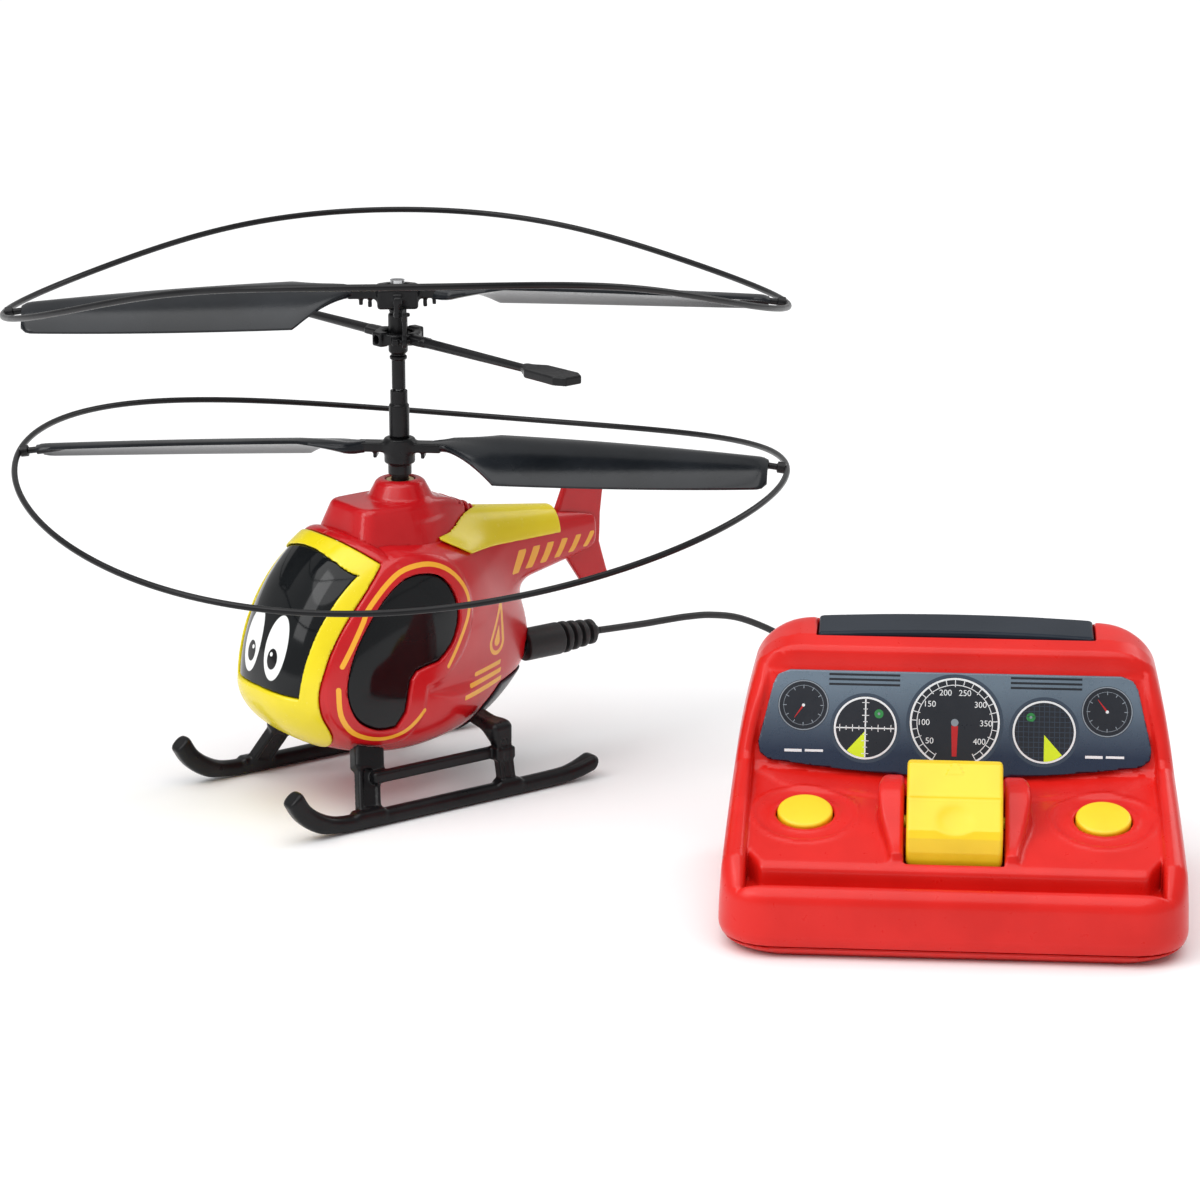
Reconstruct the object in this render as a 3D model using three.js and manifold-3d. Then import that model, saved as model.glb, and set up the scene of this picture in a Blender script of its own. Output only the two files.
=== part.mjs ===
// Remote control helicopter: a toy coaxial helicopter standing on its skids, joined by its
// charging lead to its infrared controller. Millimetres, +Z up, origin on the table under the
// middle of the set, the controller's front facing -Y.

import * as THREE from 'three';
import { mergeVertices } from 'three/addons/utils/BufferGeometryUtils.js';
import Module from 'manifold-3d';

const wasm = await Module();
wasm.setup();

// ---------------------------------------------------------------- driving dimensions

const GAP = 0.3; // between seated neighbours
const MAST = [-51, 12.5]; // the rotor mast on the table
const HEADING = 220.23; // direction of the nose, degrees from +X
const CONTROLLER = [99.5, -120]; // the middle of the controller's front bottom edge

const POD = { x: 9.5, z: 33, front: 37.2, rear: 51.5, up: 46, down: 20.3, half: 26.4 };
const POD_SQUARENESS = { front: 2.65, rear: 1.2, outline: 1.87 };
const WALL = 1.6; // moulded body wall
const BOOM = { start: -18, end: -64, low: [47, 56.5], high: [74, 67.5], half: [9.5, 3] };
const COWL = { low: 58, high: 81, front: 25, rear: -30, half: 16.5 };
const COLLAR = { z: 86, r: 7.2, footR: 11.5 };
const PLUG_Z = 31.5; // height of the charging plug's axis

const SKID = { half: 29.4, r: 2.28, rear: -42, bend: 40, tipX: 55.5, tipZ: 12.5 };

const ROTOR_R = 105;
const UPPER = {
  z: 137.26, azimuth: 8.14, spin: -1, fullChordAt: 28,
  hoop: {
    side: 1.0218, tipDrop: 4.46, bow: 17.29, tilt: -0.0938,
    twist: 1.73, pinch: -0.0766, shear: 0, sway: 0,
  },
};
const LOWER = {
  z: 94.86, azimuth: -0.76, spin: 1, fullChordAt: 27,
  hoop: {
    side: 0.952, tipDrop: 3.98, bow: -12.25, tilt: 0.0219,
    twist: 0, pinch: 0, shear: -0.0618, sway: -3.02,
  },
};
const HOOP_WIRE_R = 0.85;
const BLADE = { root: 9, tip: 100, chord: 24, tipChord: 14.5, pitch: 20, thick: 1.2, camber: 1.6 };
const FEATHER_Z = 135; // height of the upper rotor's rocking axis
const FLYBAR = { azimuth: -44.6, z: 125.2, reach: 72.6, paddle: 18 };
const LINK = { reach: 8, x: 1.6, top: 132.6, width: 3.4, eyeR: 1.3, pinR: 0.6, pinTo: 2.6 }; // mixing links

const OUTER_MAST = { r: 2.35, bore: 1.5, low: 38, high: 110 };
const INNER_SHAFT = { r: 1.2, low: 24.5, high: 139 };
const GEAR = { module: 0.6, teeth: 34, pinionTeeth: 9, thick: 3, upperZ: 33, lowerZ: 42 };
const MOTOR = { r: 3.5, low: 50.5, high: 66.5 };
const MOTOR_X = GEAR.module * (GEAR.teeth + GEAR.pinionTeeth) / 2;
const FRAME_PLATES = [27, 48]; // heights of the gearbox frame's two plates

const CASE = { half: 58, depth: 90, high: 66, draft: 0.00298, seam: 3, wall: 2.2 };
const DECK = { y: 11.5, z: 21.8, slope: 16.2 }; // the deck's front edge and its rise
const LEVER = { y: 27, z: 27.5, half: 11.8, cheek: 5 };
const BUTTON = { x: 37, y: 33, r: 6.85, lift: 1.4 };
const SWITCH_Z = 20.8;
const CASE_CORNER_R = 13;
const DOOR = { y: 58, depth: 57.2, thick: 1.2 }; // the battery door under the case
const EYE_WINDOW = { half: 35.2, low: 70, high: 84.4 }; // the infrared window on the case's top
const CELL = { count: 3, r: 7.1, length: 49.5, y: 58, z: 9.8, pitch: 14.7 };

const CORD_R = 1;
// the lead's route from the plug to the controller, measured from the mast's foot
const CORD_ROUTE = [
  [50.9, 43.1, 31.3], [57, 48.2, 30.9], [63.4, 53.6, 30.5], [69, 58.4, 30.3], [74.8, 63.3, 30],
  [81.7, 69.1, 29], [90.1, 76.2, 26], [100.8, 84.5, 19], [110, 88.6, 11], [120, 87.8, 4.5],
  [130, 82, 1.7], [138.5, 72, 1.1], [144, 58, 1.1], [146.5, 42, 1.1], [146.5, 26, 1.1],
  [144.5, 10, 1.2], [140.6, -4, 3.2], [136.8, -14, 8], [135.2, -22, 11.4], [135, -29.8, 12],
];
const CORD_STEPS = 46;
const GROMMET = { x: 135 - 150.5, z: 12, length: 12 };

// ---------------------------------------------------------------- shape helpers

const rad = THREE.MathUtils.degToRad;
const X = new THREE.Vector3(1, 0, 0);

// A closed three.js geometry as a manifold solid, moved and turned.
function solid(geometry, place = [0, 0, 0], turn = [0, 0, 0]) {
  const bare = geometry.clone();
  for (const name of Object.keys(bare.attributes)) {
    if (name !== 'position') bare.deleteAttribute(name);
  }
  const euler = new THREE.Euler(rad(turn[0]), rad(turn[1]), rad(turn[2]));
  bare.applyMatrix4(new THREE.Matrix4().makeRotationFromEuler(euler).setPosition(...place));
  const merged = mergeVertices(bare, 1e-4);
  return new wasm.Manifold(new wasm.Mesh({
    numProp: 3,
    vertProperties: merged.attributes.position.array,
    triVerts: new Uint32Array(merged.index.array),
  }));
}

const box = (width, depth, height, place, turn) =>
  solid(new THREE.BoxGeometry(width, depth, height), place, turn);

// A round bar standing on [x, y, low] and reaching up to high.
function post(r, low, high, [x, y] = [0, 0], sides = 14) {
  const bar = new THREE.CylinderGeometry(r, r, high - low, sides).rotateX(Math.PI / 2);
  return solid(bar, [x, y, (low + high) / 2]);
}

// A round bar from one point to another, tapering from r to endR.
function bar(from, to, r, endR = r, sides = 10) {
  const [a, b] = [new THREE.Vector3(...from), new THREE.Vector3(...to)];
  const length = a.distanceTo(b);
  const geometry = new THREE.CylinderGeometry(endR, r, length, sides).translate(0, length / 2, 0);
  const aim = new THREE.Vector3().subVectors(b, a).normalize();
  geometry.applyQuaternion(new THREE.Quaternion().setFromUnitVectors(new THREE.Vector3(0, 1, 0), aim));
  return solid(geometry, from);
}

// A flat bar from one point to another, its width kept near X.
function beam(from, to, width, thick) {
  const [a, b] = [new THREE.Vector3(...from), new THREE.Vector3(...to)];
  const along = new THREE.Vector3().subVectors(b, a).normalize();
  const across = X.clone().addScaledVector(along, -X.dot(along)).normalize();
  const third = new THREE.Vector3().crossVectors(along, across);
  const geometry = new THREE.BoxGeometry(width, thick, a.distanceTo(b));
  geometry.applyMatrix4(new THREE.Matrix4().makeBasis(across, third, along));
  return solid(geometry, a.add(b).multiplyScalar(0.5).toArray());
}

const outline = (points) => new THREE.Shape(points.map(([x, y]) => new THREE.Vector2(x, y)));
const extrude = (shape, depth) =>
  new THREE.ExtrudeGeometry(shape, { depth, bevelEnabled: false, curveSegments: 4 });

// An XZ outline made solid from y = -half to y = half.
function sideProfile(shape, half, middle = 0) {
  const geometry = extrude(shape, 2 * half).rotateX(Math.PI / 2);
  return solid(geometry, [0, middle + half, 0]);
}

// A YZ outline made solid from x = -half to x = half.
function endProfile(shape, half, middle = 0) {
  const [toX, toY, toZ] = [new THREE.Vector3(0, 1, 0), new THREE.Vector3(0, 0, 1), X];
  const geometry = extrude(shape, 2 * half).applyMatrix4(new THREE.Matrix4().makeBasis(toX, toY, toZ));
  return solid(geometry, [middle - half, 0, 0]);
}

// An XY outline made solid from z = low to z = high.
const planProfile = (shape, low, high) => solid(extrude(shape, high - low), [0, 0, low]);

// A rectangle with round corners, given by its corners.
function roundRect(x0, y0, x1, y1, r) {
  const shape = new THREE.Shape();
  shape.absarc(x1 - r, y0 + r, r, -Math.PI / 2, 0, false);
  shape.absarc(x1 - r, y1 - r, r, 0, Math.PI / 2, false);
  shape.absarc(x0 + r, y1 - r, r, Math.PI / 2, Math.PI, false);
  shape.absarc(x0 + r, y0 + r, r, Math.PI, 1.5 * Math.PI, false);
  return shape;
}

// A turned solid from [r, z] points, the first and last on the axis or joined to each other.
const turned = (points, sides = 14) => solid(
  new THREE.LatheGeometry(points.map(([r, z]) => new THREE.Vector2(r, z)), sides).rotateX(Math.PI / 2),
);

// Moves every vertex of a geometry through a function of [x, y, z].
function reshape(geometry, move) {
  const position = geometry.attributes.position;
  for (let i = 0; i < position.count; i += 1) {
    position.setXYZ(i, ...move([position.getX(i), position.getY(i), position.getZ(i)]));
  }
  return geometry;
}

// A tube along a smooth curve through the points.
function tube(points, r, steps, sides = 8) {
  const section = new THREE.Shape();
  for (let i = 0; i < sides; i += 1) {
    const angle = (2 * Math.PI * i) / sides;
    if (i === 0) section.moveTo(r, 0);
    else section.lineTo(r * Math.cos(angle), r * Math.sin(angle));
  }
  const path = new THREE.CatmullRomCurve3(points.map((p) => new THREE.Vector3(...p)));
  return solid(new THREE.ExtrudeGeometry(section, { steps, extrudePath: path, bevelEnabled: false }));
}

const joined = (...solids) => solids.reduce((all, next) => all.add(next));
const less = (body, ...cuts) => cuts.reduce((left, cut) => left.subtract(cut), body);
const mirrorY = (body) => body.mirror([0, 1, 0]);

// ---------------------------------------------------------------- materials

const finish = (color, roughness, metalness = 0) => ({ color, roughness, metalness });
const RED = finish(0xc8161d, 0.3);
const YELLOW = finish(0xf7e017, 0.35);
const BLACK = finish(0x151515, 0.45);
const GLOSS_BLACK = finish(0x0a0b0d, 0.12);
const NAVY = finish(0x1b2433, 0.4);
const STEEL = finish(0xb4b7bb, 0.28, 1);
const BRASS = finish(0xb9923c, 0.35, 1);
const WHITE = finish(0xe9e7e0, 0.5);
const BOARD = finish(0x1e5a34, 0.55);
const RUBBER = finish(0x1d1d1e, 0.75);
const SILVER_FOIL = finish(0x9fa4aa, 0.45, 0.6);

const helicopter = new THREE.Group();
helicopter.position.set(...MAST, 0);
helicopter.rotation.z = rad(HEADING);
const rotors = new THREE.Group();
rotors.position.set(...MAST, 0);
const controller = new THREE.Group();
controller.position.set(...CONTROLLER, 0);

function add(group, name, body, look) {
  const made = body.getMesh();
  const geometry = new THREE.BufferGeometry();
  geometry.setAttribute('position', new THREE.BufferAttribute(made.vertProperties, 3));
  geometry.setIndex(new THREE.BufferAttribute(made.triVerts, 1));
  geometry.computeVertexNormals();
  const mesh = new THREE.Mesh(geometry, new THREE.MeshStandardMaterial(look));
  mesh.name = name;
  group.add(mesh);
}

// ---------------------------------------------------------------- fuselage forms

// The egg-shaped pod: a sphere with its poles at the sides, stretched in each direction by its
// own reach and squared off, more at the nose than at the tail.
function podForm(inset) {
  const blend = THREE.MathUtils.lerp;
  const power = (value, exponent) => Math.pow(Math.abs(value), exponent);
  const form = reshape(new THREE.SphereGeometry(1, 24, 10), ([x, y, z]) => {
    const ring = Math.hypot(x, z);
    const [cos, sin] = ring > 1e-6 ? [x / ring, z / ring] : [1, 0];
    const square = blend(POD_SQUARENESS.front, POD_SQUARENESS.rear, Math.max(0, -cos));
    const side = (power(ring, square) + power(y, square)) ** (-1 / square);
    const edge = POD_SQUARENESS.outline;
    const reach = ring * side * (power(cos, edge) + power(sin, edge)) ** (-1 / edge);
    return [
      POD.x + reach * cos * ((cos > 0 ? POD.front : POD.rear) - inset),
      y * side * (POD.half - inset),
      POD.z + reach * sin * ((sin > 0 ? POD.up : POD.down) - inset),
    ];
  });
  return solid(form);
}

// The tail boom: a rounded section that shrinks from the pod to the fin.
function boomForm(inset, start = BOOM.start, end = BOOM.end) {
  const section = new THREE.Shape();
  section.absellipse(0, 0, 1, 1, 0, 2 * Math.PI);
  const bar = new THREE.ExtrudeGeometry(section, {
    depth: 1, steps: 3, bevelEnabled: false, curveSegments: 6,
  });
  return solid(reshape(bar, ([x, y, z]) => {
    const along = start + (end - start) * z;
    const share = (along - BOOM.start) / (BOOM.end - BOOM.start);
    const at = ([a, b]) => THREE.MathUtils.lerp(a, b, share);
    const half = (at(BOOM.high) - at(BOOM.low)) / 2 - inset;
    return [along, -x * (at(BOOM.half) - inset), (at(BOOM.high) + at(BOOM.low)) / 2 + y * half];
  }));
}

// The side view of the yellow nose: everything ahead of the body shells' front edge.
function noseRegion(setback) {
  const shape = new THREE.Shape();
  shape.moveTo(60, 90);
  shape.lineTo(27 + setback, 82);
  shape.lineTo(25.2 + setback, 74);
  shape.lineTo(18.6 + setback, 68.6);
  shape.splineThru([[31.9, 53.5], [38.2, 40.3], [38.8, 31], [33.5, 21.6], [27, 8]]
    .map(([x, z]) => new THREE.Vector2(x + setback, z)));
  shape.lineTo(60, 8);
  return sideProfile(shape, 40);
}

// The opening for the windshield, seen from the front.
function windshieldOpening(inset) {
  const shape = new THREE.Shape();
  shape.moveTo(15.2 - inset, 34.6 + inset);
  shape.lineTo(16.4 - inset, 66.5 - inset);
  shape.quadraticCurveTo(0, 74.8 - inset, -16.4 + inset, 66.5 - inset);
  shape.lineTo(-15.2 + inset, 34.6 + inset);
  shape.quadraticCurveTo(0, 35.4 + inset, 15.2 - inset, 34.6 + inset);
  return endProfile(shape, 30, 56);
}

// The side window: a leaning oval with a step in its lower rear edge.
function windowRegion(grow) {
  const [middleX, middleZ] = [14, 46];
  const grown = ([x, z]) => new THREE.Vector2(
    x + (grow * (x - middleX)) / 18, z + (grow * (z - middleZ)) / 20,
  );
  const shape = new THREE.Shape();
  shape.moveTo(...grown([4.9, 41.2]).toArray());
  shape.splineThru([[-3.2, 54], [2.5, 63.6], [12.5, 64.4], [26, 53], [32.2, 38], [28.5, 27],
    [22.5, 24.2], [17.2, 25.2]].map(grown));
  shape.lineTo(...grown([14.6, 36.5]).toArray());
  shape.quadraticCurveTo(...grown([13.6, 40]).toArray(), ...grown([10.5, 40.2]).toArray());
  return shape;
}
const windowCut = (grow, side) => sideProfile(windowRegion(grow), 15, 30 * side);

// The region of the dark tray that closes the pod's lower rear.
const trayRegion = (grow) => sideProfile(outline([
  [-8 + grow, 5], [-8 + grow, 24.5 + grow], [-24, 26.4 + grow], [-50, 26 + grow], [-50, 5],
]), 40);

// The rotor cowl on the pod's back: a teardrop in plan that narrows upwards.
function cowlForm(inset) {
  const { front, rear, half, low, high } = COWL;
  const plan = new THREE.Shape();
  plan.moveTo(front - inset, 0);
  plan.lineTo(front - inset, half - 5);
  plan.quadraticCurveTo(front - inset, half - inset, front - 6, half - inset);
  plan.lineTo(2, half - inset);
  plan.quadraticCurveTo(-12, half - inset, rear + inset, 3);
  plan.lineTo(rear + inset, -3);
  plan.quadraticCurveTo(-12, -half + inset, 2, -half + inset);
  plan.lineTo(front - 6, -half + inset);
  plan.quadraticCurveTo(front - inset, -half + inset, front - inset, -half + 5);
  const block = new THREE.ExtrudeGeometry(plan, {
    depth: high - inset - low, steps: 3, bevelEnabled: false, curveSegments: 6,
  });
  const tapered = solid(reshape(block, ([x, y, z]) => {
    const share = z / (high - low);
    return [x * (1 - 0.3 * share), y * (1.12 - 0.52 * share), low + z];
  }));
  const back = outline([[-9, high + 10], [-9 - inset, high - inset], [-40, 69 - inset], [-60, 110]]);
  return less(tapered, sideProfile(back, 30));
}

// ---------------------------------------------------------------- fuselage parts

function addFuselage() {
  const shell = less(
    joined(podForm(0), boomForm(0)),
    podForm(WALL), boomForm(WALL, BOOM.start + 4, BOOM.end + 2),
  );
  const finSlot = sideProfile(finOutline(GAP), 1.1 + GAP);
  const plugHole = bar([-60, 0, PLUG_Z], [-30, 0, PLUG_Z], 2.6);
  const mastHole = post(6, 60, 90);
  const behind = less(shell, noseRegion(-GAP), trayRegion(GAP), finSlot, plugHole, mastHole,
    cowlForm(-GAP));
  for (const [side, name] of [[1, 'left'], [-1, 'right']]) {
    const half = behind.intersect(box(200, 60, 200, [0, side * (30 + GAP / 2), 50]));
    add(helicopter, `${name}_body_shell`, biggest(less(half, windowCut(GAP, side))), RED);
    const pane = less(podForm(0.1), podForm(WALL)).intersect(windowCut(0, side));
    add(helicopter, `${name}_side_window`, pane, GLOSS_BLACK);
  }
  const nose = less(podForm(0), podForm(WALL)).intersect(noseRegion(0));
  add(helicopter, 'nose_frame', biggest(less(nose, windshieldOpening(0))), YELLOW);
  const pane = less(podForm(0.1), podForm(WALL)).intersect(windshieldOpening(GAP));
  add(helicopter, 'windshield', pane, GLOSS_BLACK);

  const tray = less(podForm(-0.6), podForm(WALL)).intersect(trayRegion(0));
  const switchSlot = box(8, 3.4, 8, [-16, 0, 16]);
  add(helicopter, 'belly_tray', biggest(less(tray, switchSlot)), NAVY);

  const collar = turned([[0, 78], [COLLAR.footR, 80.5], [COLLAR.r, COLLAR.z], [0, COLLAR.z]], 16);
  const hollow = less(cowlForm(WALL), box(80, 80, 20, [0, 0, 80 + 9.5]));
  const cowl = less(joined(cowlForm(0), collar), podForm(-GAP), boomForm(-GAP), hollow,
    post(4.1, 50, 90));
  add(helicopter, 'rotor_cowl', biggest(cowl), RED);

  const cover = less(boomForm(-1.2, -4, -49.5), boomForm(-GAP, 0, -60), podForm(-GAP), cowlForm(-GAP))
    .intersect(sideProfile(outline([[-4, 70.5], [-15, 65.2], [-53, 64], [-53, 90], [-4, 90]]), 20));
  add(helicopter, 'boom_top_cover', biggest(cover), YELLOW);
  add(helicopter, 'tail_fin', sideProfile(finOutline(0), 1.1), RED);
}

// The largest of a solid's separate pieces.
function biggest(body) {
  return body.decompose().reduce((best, piece) => (piece.volume() > best.volume() ? piece : best));
}

// The tail fin: swept upper fin, lower fin and the root that the boom's halves clamp.
function finOutline(grow) {
  return outline([
    [-50 + grow, 62], [-51 + grow, 68], [-57.5 - grow, 84 + grow], [-69 - grow, 84 + grow],
    [-66.3 - grow, 66], [-66 - grow, 58], [-69.5 - grow, 47 - grow], [-60 + grow, 47 - grow],
    [-54 + grow, 56],
  ]);
}

function addSkids() {
  for (const [side, name] of [[1, 'left'], [-1, 'right']]) {
    const y = SKID.half;
    const runner = tube([
      [SKID.rear, y, 4.2], [-36, y, 2.6], [-28, y, SKID.r], [0, y, SKID.r], [30, y, SKID.r],
      [SKID.bend, y, SKID.r + 0.2], [48, y, 4], [53, y, 8], [SKID.tipX, y, SKID.tipZ],
    ], 2.2, 22);
    const front = beam([33.9, y - 0.3, 2.5], [31.5, 20.6, 22.5], 6.6, 3.2);
    const rear = joined(
      beam([-14.6, y - 0.3, 2.5], [-13.6, 24.6, 21], 4.6, 3.2),
      beam([-13.6, 25, 20], [-12.6, 18, 25.5], 4.6, 3.4),
    );
    const rail = box(46, 2.6, 3, [9.5, 26.2, 13]);
    const gear = less(joined(runner, front, rear, rail), podForm(-GAP), podForm(-0.6 - GAP)
      .intersect(trayRegion(GAP)));
    const left = biggest(gear);
    add(helicopter, `${name}_landing_skid`, side > 0 ? left : mirrorY(left), BLACK);
  }
}

// ---------------------------------------------------------------- drive train

// A spur gear outline with straight-flanked teeth, slim enough to run freely.
function gearOutline(teeth, phase, bore) {
  const pitchR = (GEAR.module * teeth) / 2;
  const shape = new THREE.Shape();
  const step = (2 * Math.PI) / teeth;
  const corners = [[-0.3, -1.15], [-0.13, 0.8], [0.13, 0.8], [0.3, -1.15]];
  for (let tooth = 0; tooth < teeth; tooth += 1) {
    for (const [share, height] of corners) {
      const angle = (tooth + share) * step + phase;
      const r = pitchR + height * GEAR.module;
      const point = [r * Math.cos(angle), r * Math.sin(angle)];
      if (tooth === 0 && share === corners[0][0]) shape.moveTo(...point);
      else shape.lineTo(...point);
    }
  }
  const hole = new THREE.Path();
  hole.absarc(0, 0, bore, 0, 2 * Math.PI, true);
  shape.holes.push(hole);
  return shape;
}

function addDrive() {
  const half = Math.PI / GEAR.pinionTeeth;
  const sets = [
    ['lower_rotor_gear', 'front_pinion', GEAR.lowerZ, MOTOR_X, 0, half + Math.PI, OUTER_MAST.r + GAP],
    ['upper_rotor_gear', 'rear_pinion', GEAR.upperZ, -MOTOR_X, 0, half, INNER_SHAFT.r + GAP],
  ];
  for (const [gearName, pinionName, z, x, phase, pinionPhase, bore] of sets) {
    const gear = planProfile(gearOutline(GEAR.teeth, phase, bore), z, z + GEAR.thick);
    add(helicopter, gearName, gear, WHITE);
    const pinion = planProfile(gearOutline(GEAR.pinionTeeth, pinionPhase, 0.35), z - 0.5, z + 3.5);
    const shaft = post(0.5, z - 1, MOTOR.low + 2.4, [0, 0], 10);
    add(helicopter, pinionName, joined(pinion, shaft).translate([x, 0, 0]), BRASS);
  }
  for (const [name, x] of [['front_motor', MOTOR_X], ['rear_motor', -MOTOR_X]]) {
    const can = turned([[0, MOTOR.low + 3], [0.9, MOTOR.low + 3], [0.9, MOTOR.low],
      [MOTOR.r, MOTOR.low], [MOTOR.r, MOTOR.high], [1.4, MOTOR.high], [1.4, MOTOR.high + 0.8],
      [0, MOTOR.high + 0.8]]);
    add(helicopter, name, can.translate([x, 0, 0]), STEEL);
  }
  const mastWall = less(post(OUTER_MAST.r, OUTER_MAST.low, OUTER_MAST.high, [0, 0], 18),
    post(OUTER_MAST.bore, 0, 200));
  add(helicopter, 'outer_mast', mastWall, BLACK);
  add(helicopter, 'inner_shaft', post(INNER_SHAFT.r, INNER_SHAFT.low, INNER_SHAFT.high, [0, 0], 16),
    STEEL);

  const [low, high] = FRAME_PLATES;
  const plan = outline([[19, -14], [19, 14], [-4, 15.5], [-18, 8.5], [-18, -8.5], [-4, -15.5]]);
  const plates = joined(planProfile(plan, low, low + 2), planProfile(plan, high, high + 2));
  const [postY, postZ] = [13.4, (low + high) / 2 + 1];
  const posts = joined(...[1, -1].map((side) => box(6, 2.6, high - low, [0, side * postY, postZ])));
  const frame = less(joined(plates, posts), post(1.6, low - 5, low + 5), post(3.9, high - 5, high + 5),
    post(1.5, high - 5, high + 5, [MOTOR_X, 0]), post(1.5, high - 5, high + 5, [-MOTOR_X, 0]));
  add(helicopter, 'gearbox_frame', frame, BLACK);
  const ring = (r, bore, from, to) => less(post(r, from, to), post(bore, from - 1, to + 1));
  add(helicopter, 'lower_mast_bearing', ring(3.6, OUTER_MAST.r + GAP, high, high + 2), BRASS);
  add(helicopter, 'upper_mast_bearing', ring(3.8, OUTER_MAST.r + GAP, 82.5, 85.6), BRASS);
}

function addElectrics() {
  const cell = planProfile(roundRect(21.5, -8, 40.5, 8, 2), 28.5, 37.5);
  add(helicopter, 'battery_pack', cell, SILVER_FOIL);
  add(helicopter, 'circuit_board', box(11, 1, 14, [-23.5, 3.2, 43]), BOARD);
  const socket = less(box(8, 5.6, 6.4, [-31, 0, PLUG_Z]), bar([-50, 0, PLUG_Z], [-29, 0, PLUG_Z], 2));
  add(helicopter, 'charge_socket', socket, BLACK);
  const eye = joined(box(5, 2.6, 6, [-24, 1, 46]), bar([-24, -0.2, 46.6], [-24, -1.6, 46.6], 1.8, 1));
  add(helicopter, 'infrared_receiver', eye, GLOSS_BLACK);
  const body = less(box(9, 5, 3.4, [-16, 0, 21.4]), box(6.4, 2.6, 2.4, [-16, 0, 20.2]));
  add(helicopter, 'power_switch_body', body, STEEL);
  add(helicopter, 'power_switch_slider', box(2.6, 1.9, 6, [-17.4, 0, 17.8]), BLACK);
}

// ---------------------------------------------------------------- rotors

// One blade lying along +X, its thick leading edge raised and its tail edge widened past the root.
function bladeForm(rotor) {
  const flat = new THREE.BoxGeometry(1, 1, 1, 10, 4, 1);
  const slope = rad(BLADE.pitch);
  const form = reshape(flat, ([s, c, t]) => {
    const r = THREE.MathUtils.lerp(BLADE.root, BLADE.tip, s + 0.5);
    const spread = THREE.MathUtils.smoothstep(r, BLADE.root + 3, rotor.fullChordAt);
    const taper = ((r - BLADE.root) / (BLADE.tip - BLADE.root)) ** 2.2;
    const chord = THREE.MathUtils.lerp(
      5, THREE.MathUtils.lerp(BLADE.chord, BLADE.tipChord, taper), spread,
    );
    const lead = THREE.MathUtils.lerp(2.5, 0.28 * chord, spread);
    const across = lead - (0.5 - c) * chord;
    const bulge = BLADE.camber * spread * (1 - 4 * c * c) + t * BLADE.thick * (1 - 0.6 * Math.abs(2 * c));
    const drop = rotor.hoop.tipDrop * (r / ROTOR_R) ** 1.5;
    return [
      r,
      rotor.spin * (across * Math.cos(slope) - bulge * Math.sin(slope)),
      rotor.z - drop + across * Math.sin(slope) * spread + bulge * Math.cos(slope),
    ];
  });
  return rotor.spin > 0 ? solid(form) : solid(turnInsideOut(form));
}

// Reverses the winding of a mirrored geometry.
function turnInsideOut(geometry) {
  const index = geometry.index.array;
  for (let i = 0; i < index.length; i += 3) [index[i + 1], index[i + 2]] = [index[i + 2], index[i + 1]];
  return geometry;
}

// The point of a rotor's safety hoop at angle t from its first tip, before the azimuth turn.
function hoopPoint(rotor, t) {
  const { side, tipDrop, bow, tilt, twist, pinch, shear, sway } = rotor.hoop;
  const corner = Math.sin(2 * t) ** 2;
  const spread = 1 + pinch * corner;
  const lift = bow * Math.sin(t) ** 2 + tilt * side * ROTOR_R * Math.sin(t) + twist * corner
    + sway * Math.sin(2 * t);
  return [
    ROTOR_R * (spread * Math.cos(t) + shear * Math.sin(t)),
    side * ROTOR_R * spread * Math.sin(t),
    rotor.z - tipDrop + lift,
  ];
}

function hoopForm(rotor) {
  const ring = new THREE.TorusGeometry(ROTOR_R, HOOP_WIRE_R, 6, 46);
  const wire = solid(reshape(ring, ([x, y, z]) => {
    const t = Math.atan2(y, x);
    const proud = Math.hypot(x, y) - ROTOR_R;
    const [hx, hy, hz] = hoopPoint(rotor, t);
    return [hx + proud * Math.cos(t), hy + proud * Math.sin(t), hz + z];
  }));
  const knobs = [0, Math.PI].map((t) => solid(new THREE.SphereGeometry(1.7, 8, 6), hoopPoint(rotor, t)));
  return joined(wire, ...knobs);
}

// A blade with the peg that carries the hoop.
function bladeWithPeg(rotor) {
  const z = hoopPoint(rotor, 0)[2];
  return joined(bladeForm(rotor), bar([95, 0, z + 1.5], [ROTOR_R - 1.7 - GAP, 0, z], 1.1, 0.8, 8));
}

function addRotor(rotor, name, hub) {
  const place = (body, turn = 0) => body.rotate([0, 0, rotor.azimuth + turn]);
  add(rotors, `${name}_rotor_hub`, place(hub), BLACK);
  add(rotors, `${name}_blade_right`, place(bladeWithPeg(rotor)), BLACK);
  add(rotors, `${name}_blade_left`, place(bladeWithPeg(rotor), 180), BLACK);
  add(rotors, `${name}_hoop`, place(hoopForm(rotor)), BLACK);
}

function lowerHub() {
  const collar = turned([[0, 87], [3.1, 87], [3.1, 89.2], [4.2, 90], [4.2, 96.6], [0, 96.6]]);
  const arms = box(2 * (BLADE.root - GAP), 5, 2.8, [0, 0, 94.6]);
  return less(joined(collar, arms), post(OUTER_MAST.r + GAP, 80, 100));
}

// The pin that a mixing link's eye hangs on.
const linkPin = (side, z) =>
  bar([-0.9, side * LINK.reach, z], [LINK.pinTo, side * LINK.reach, z], LINK.pinR, LINK.pinR, 8);

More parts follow.
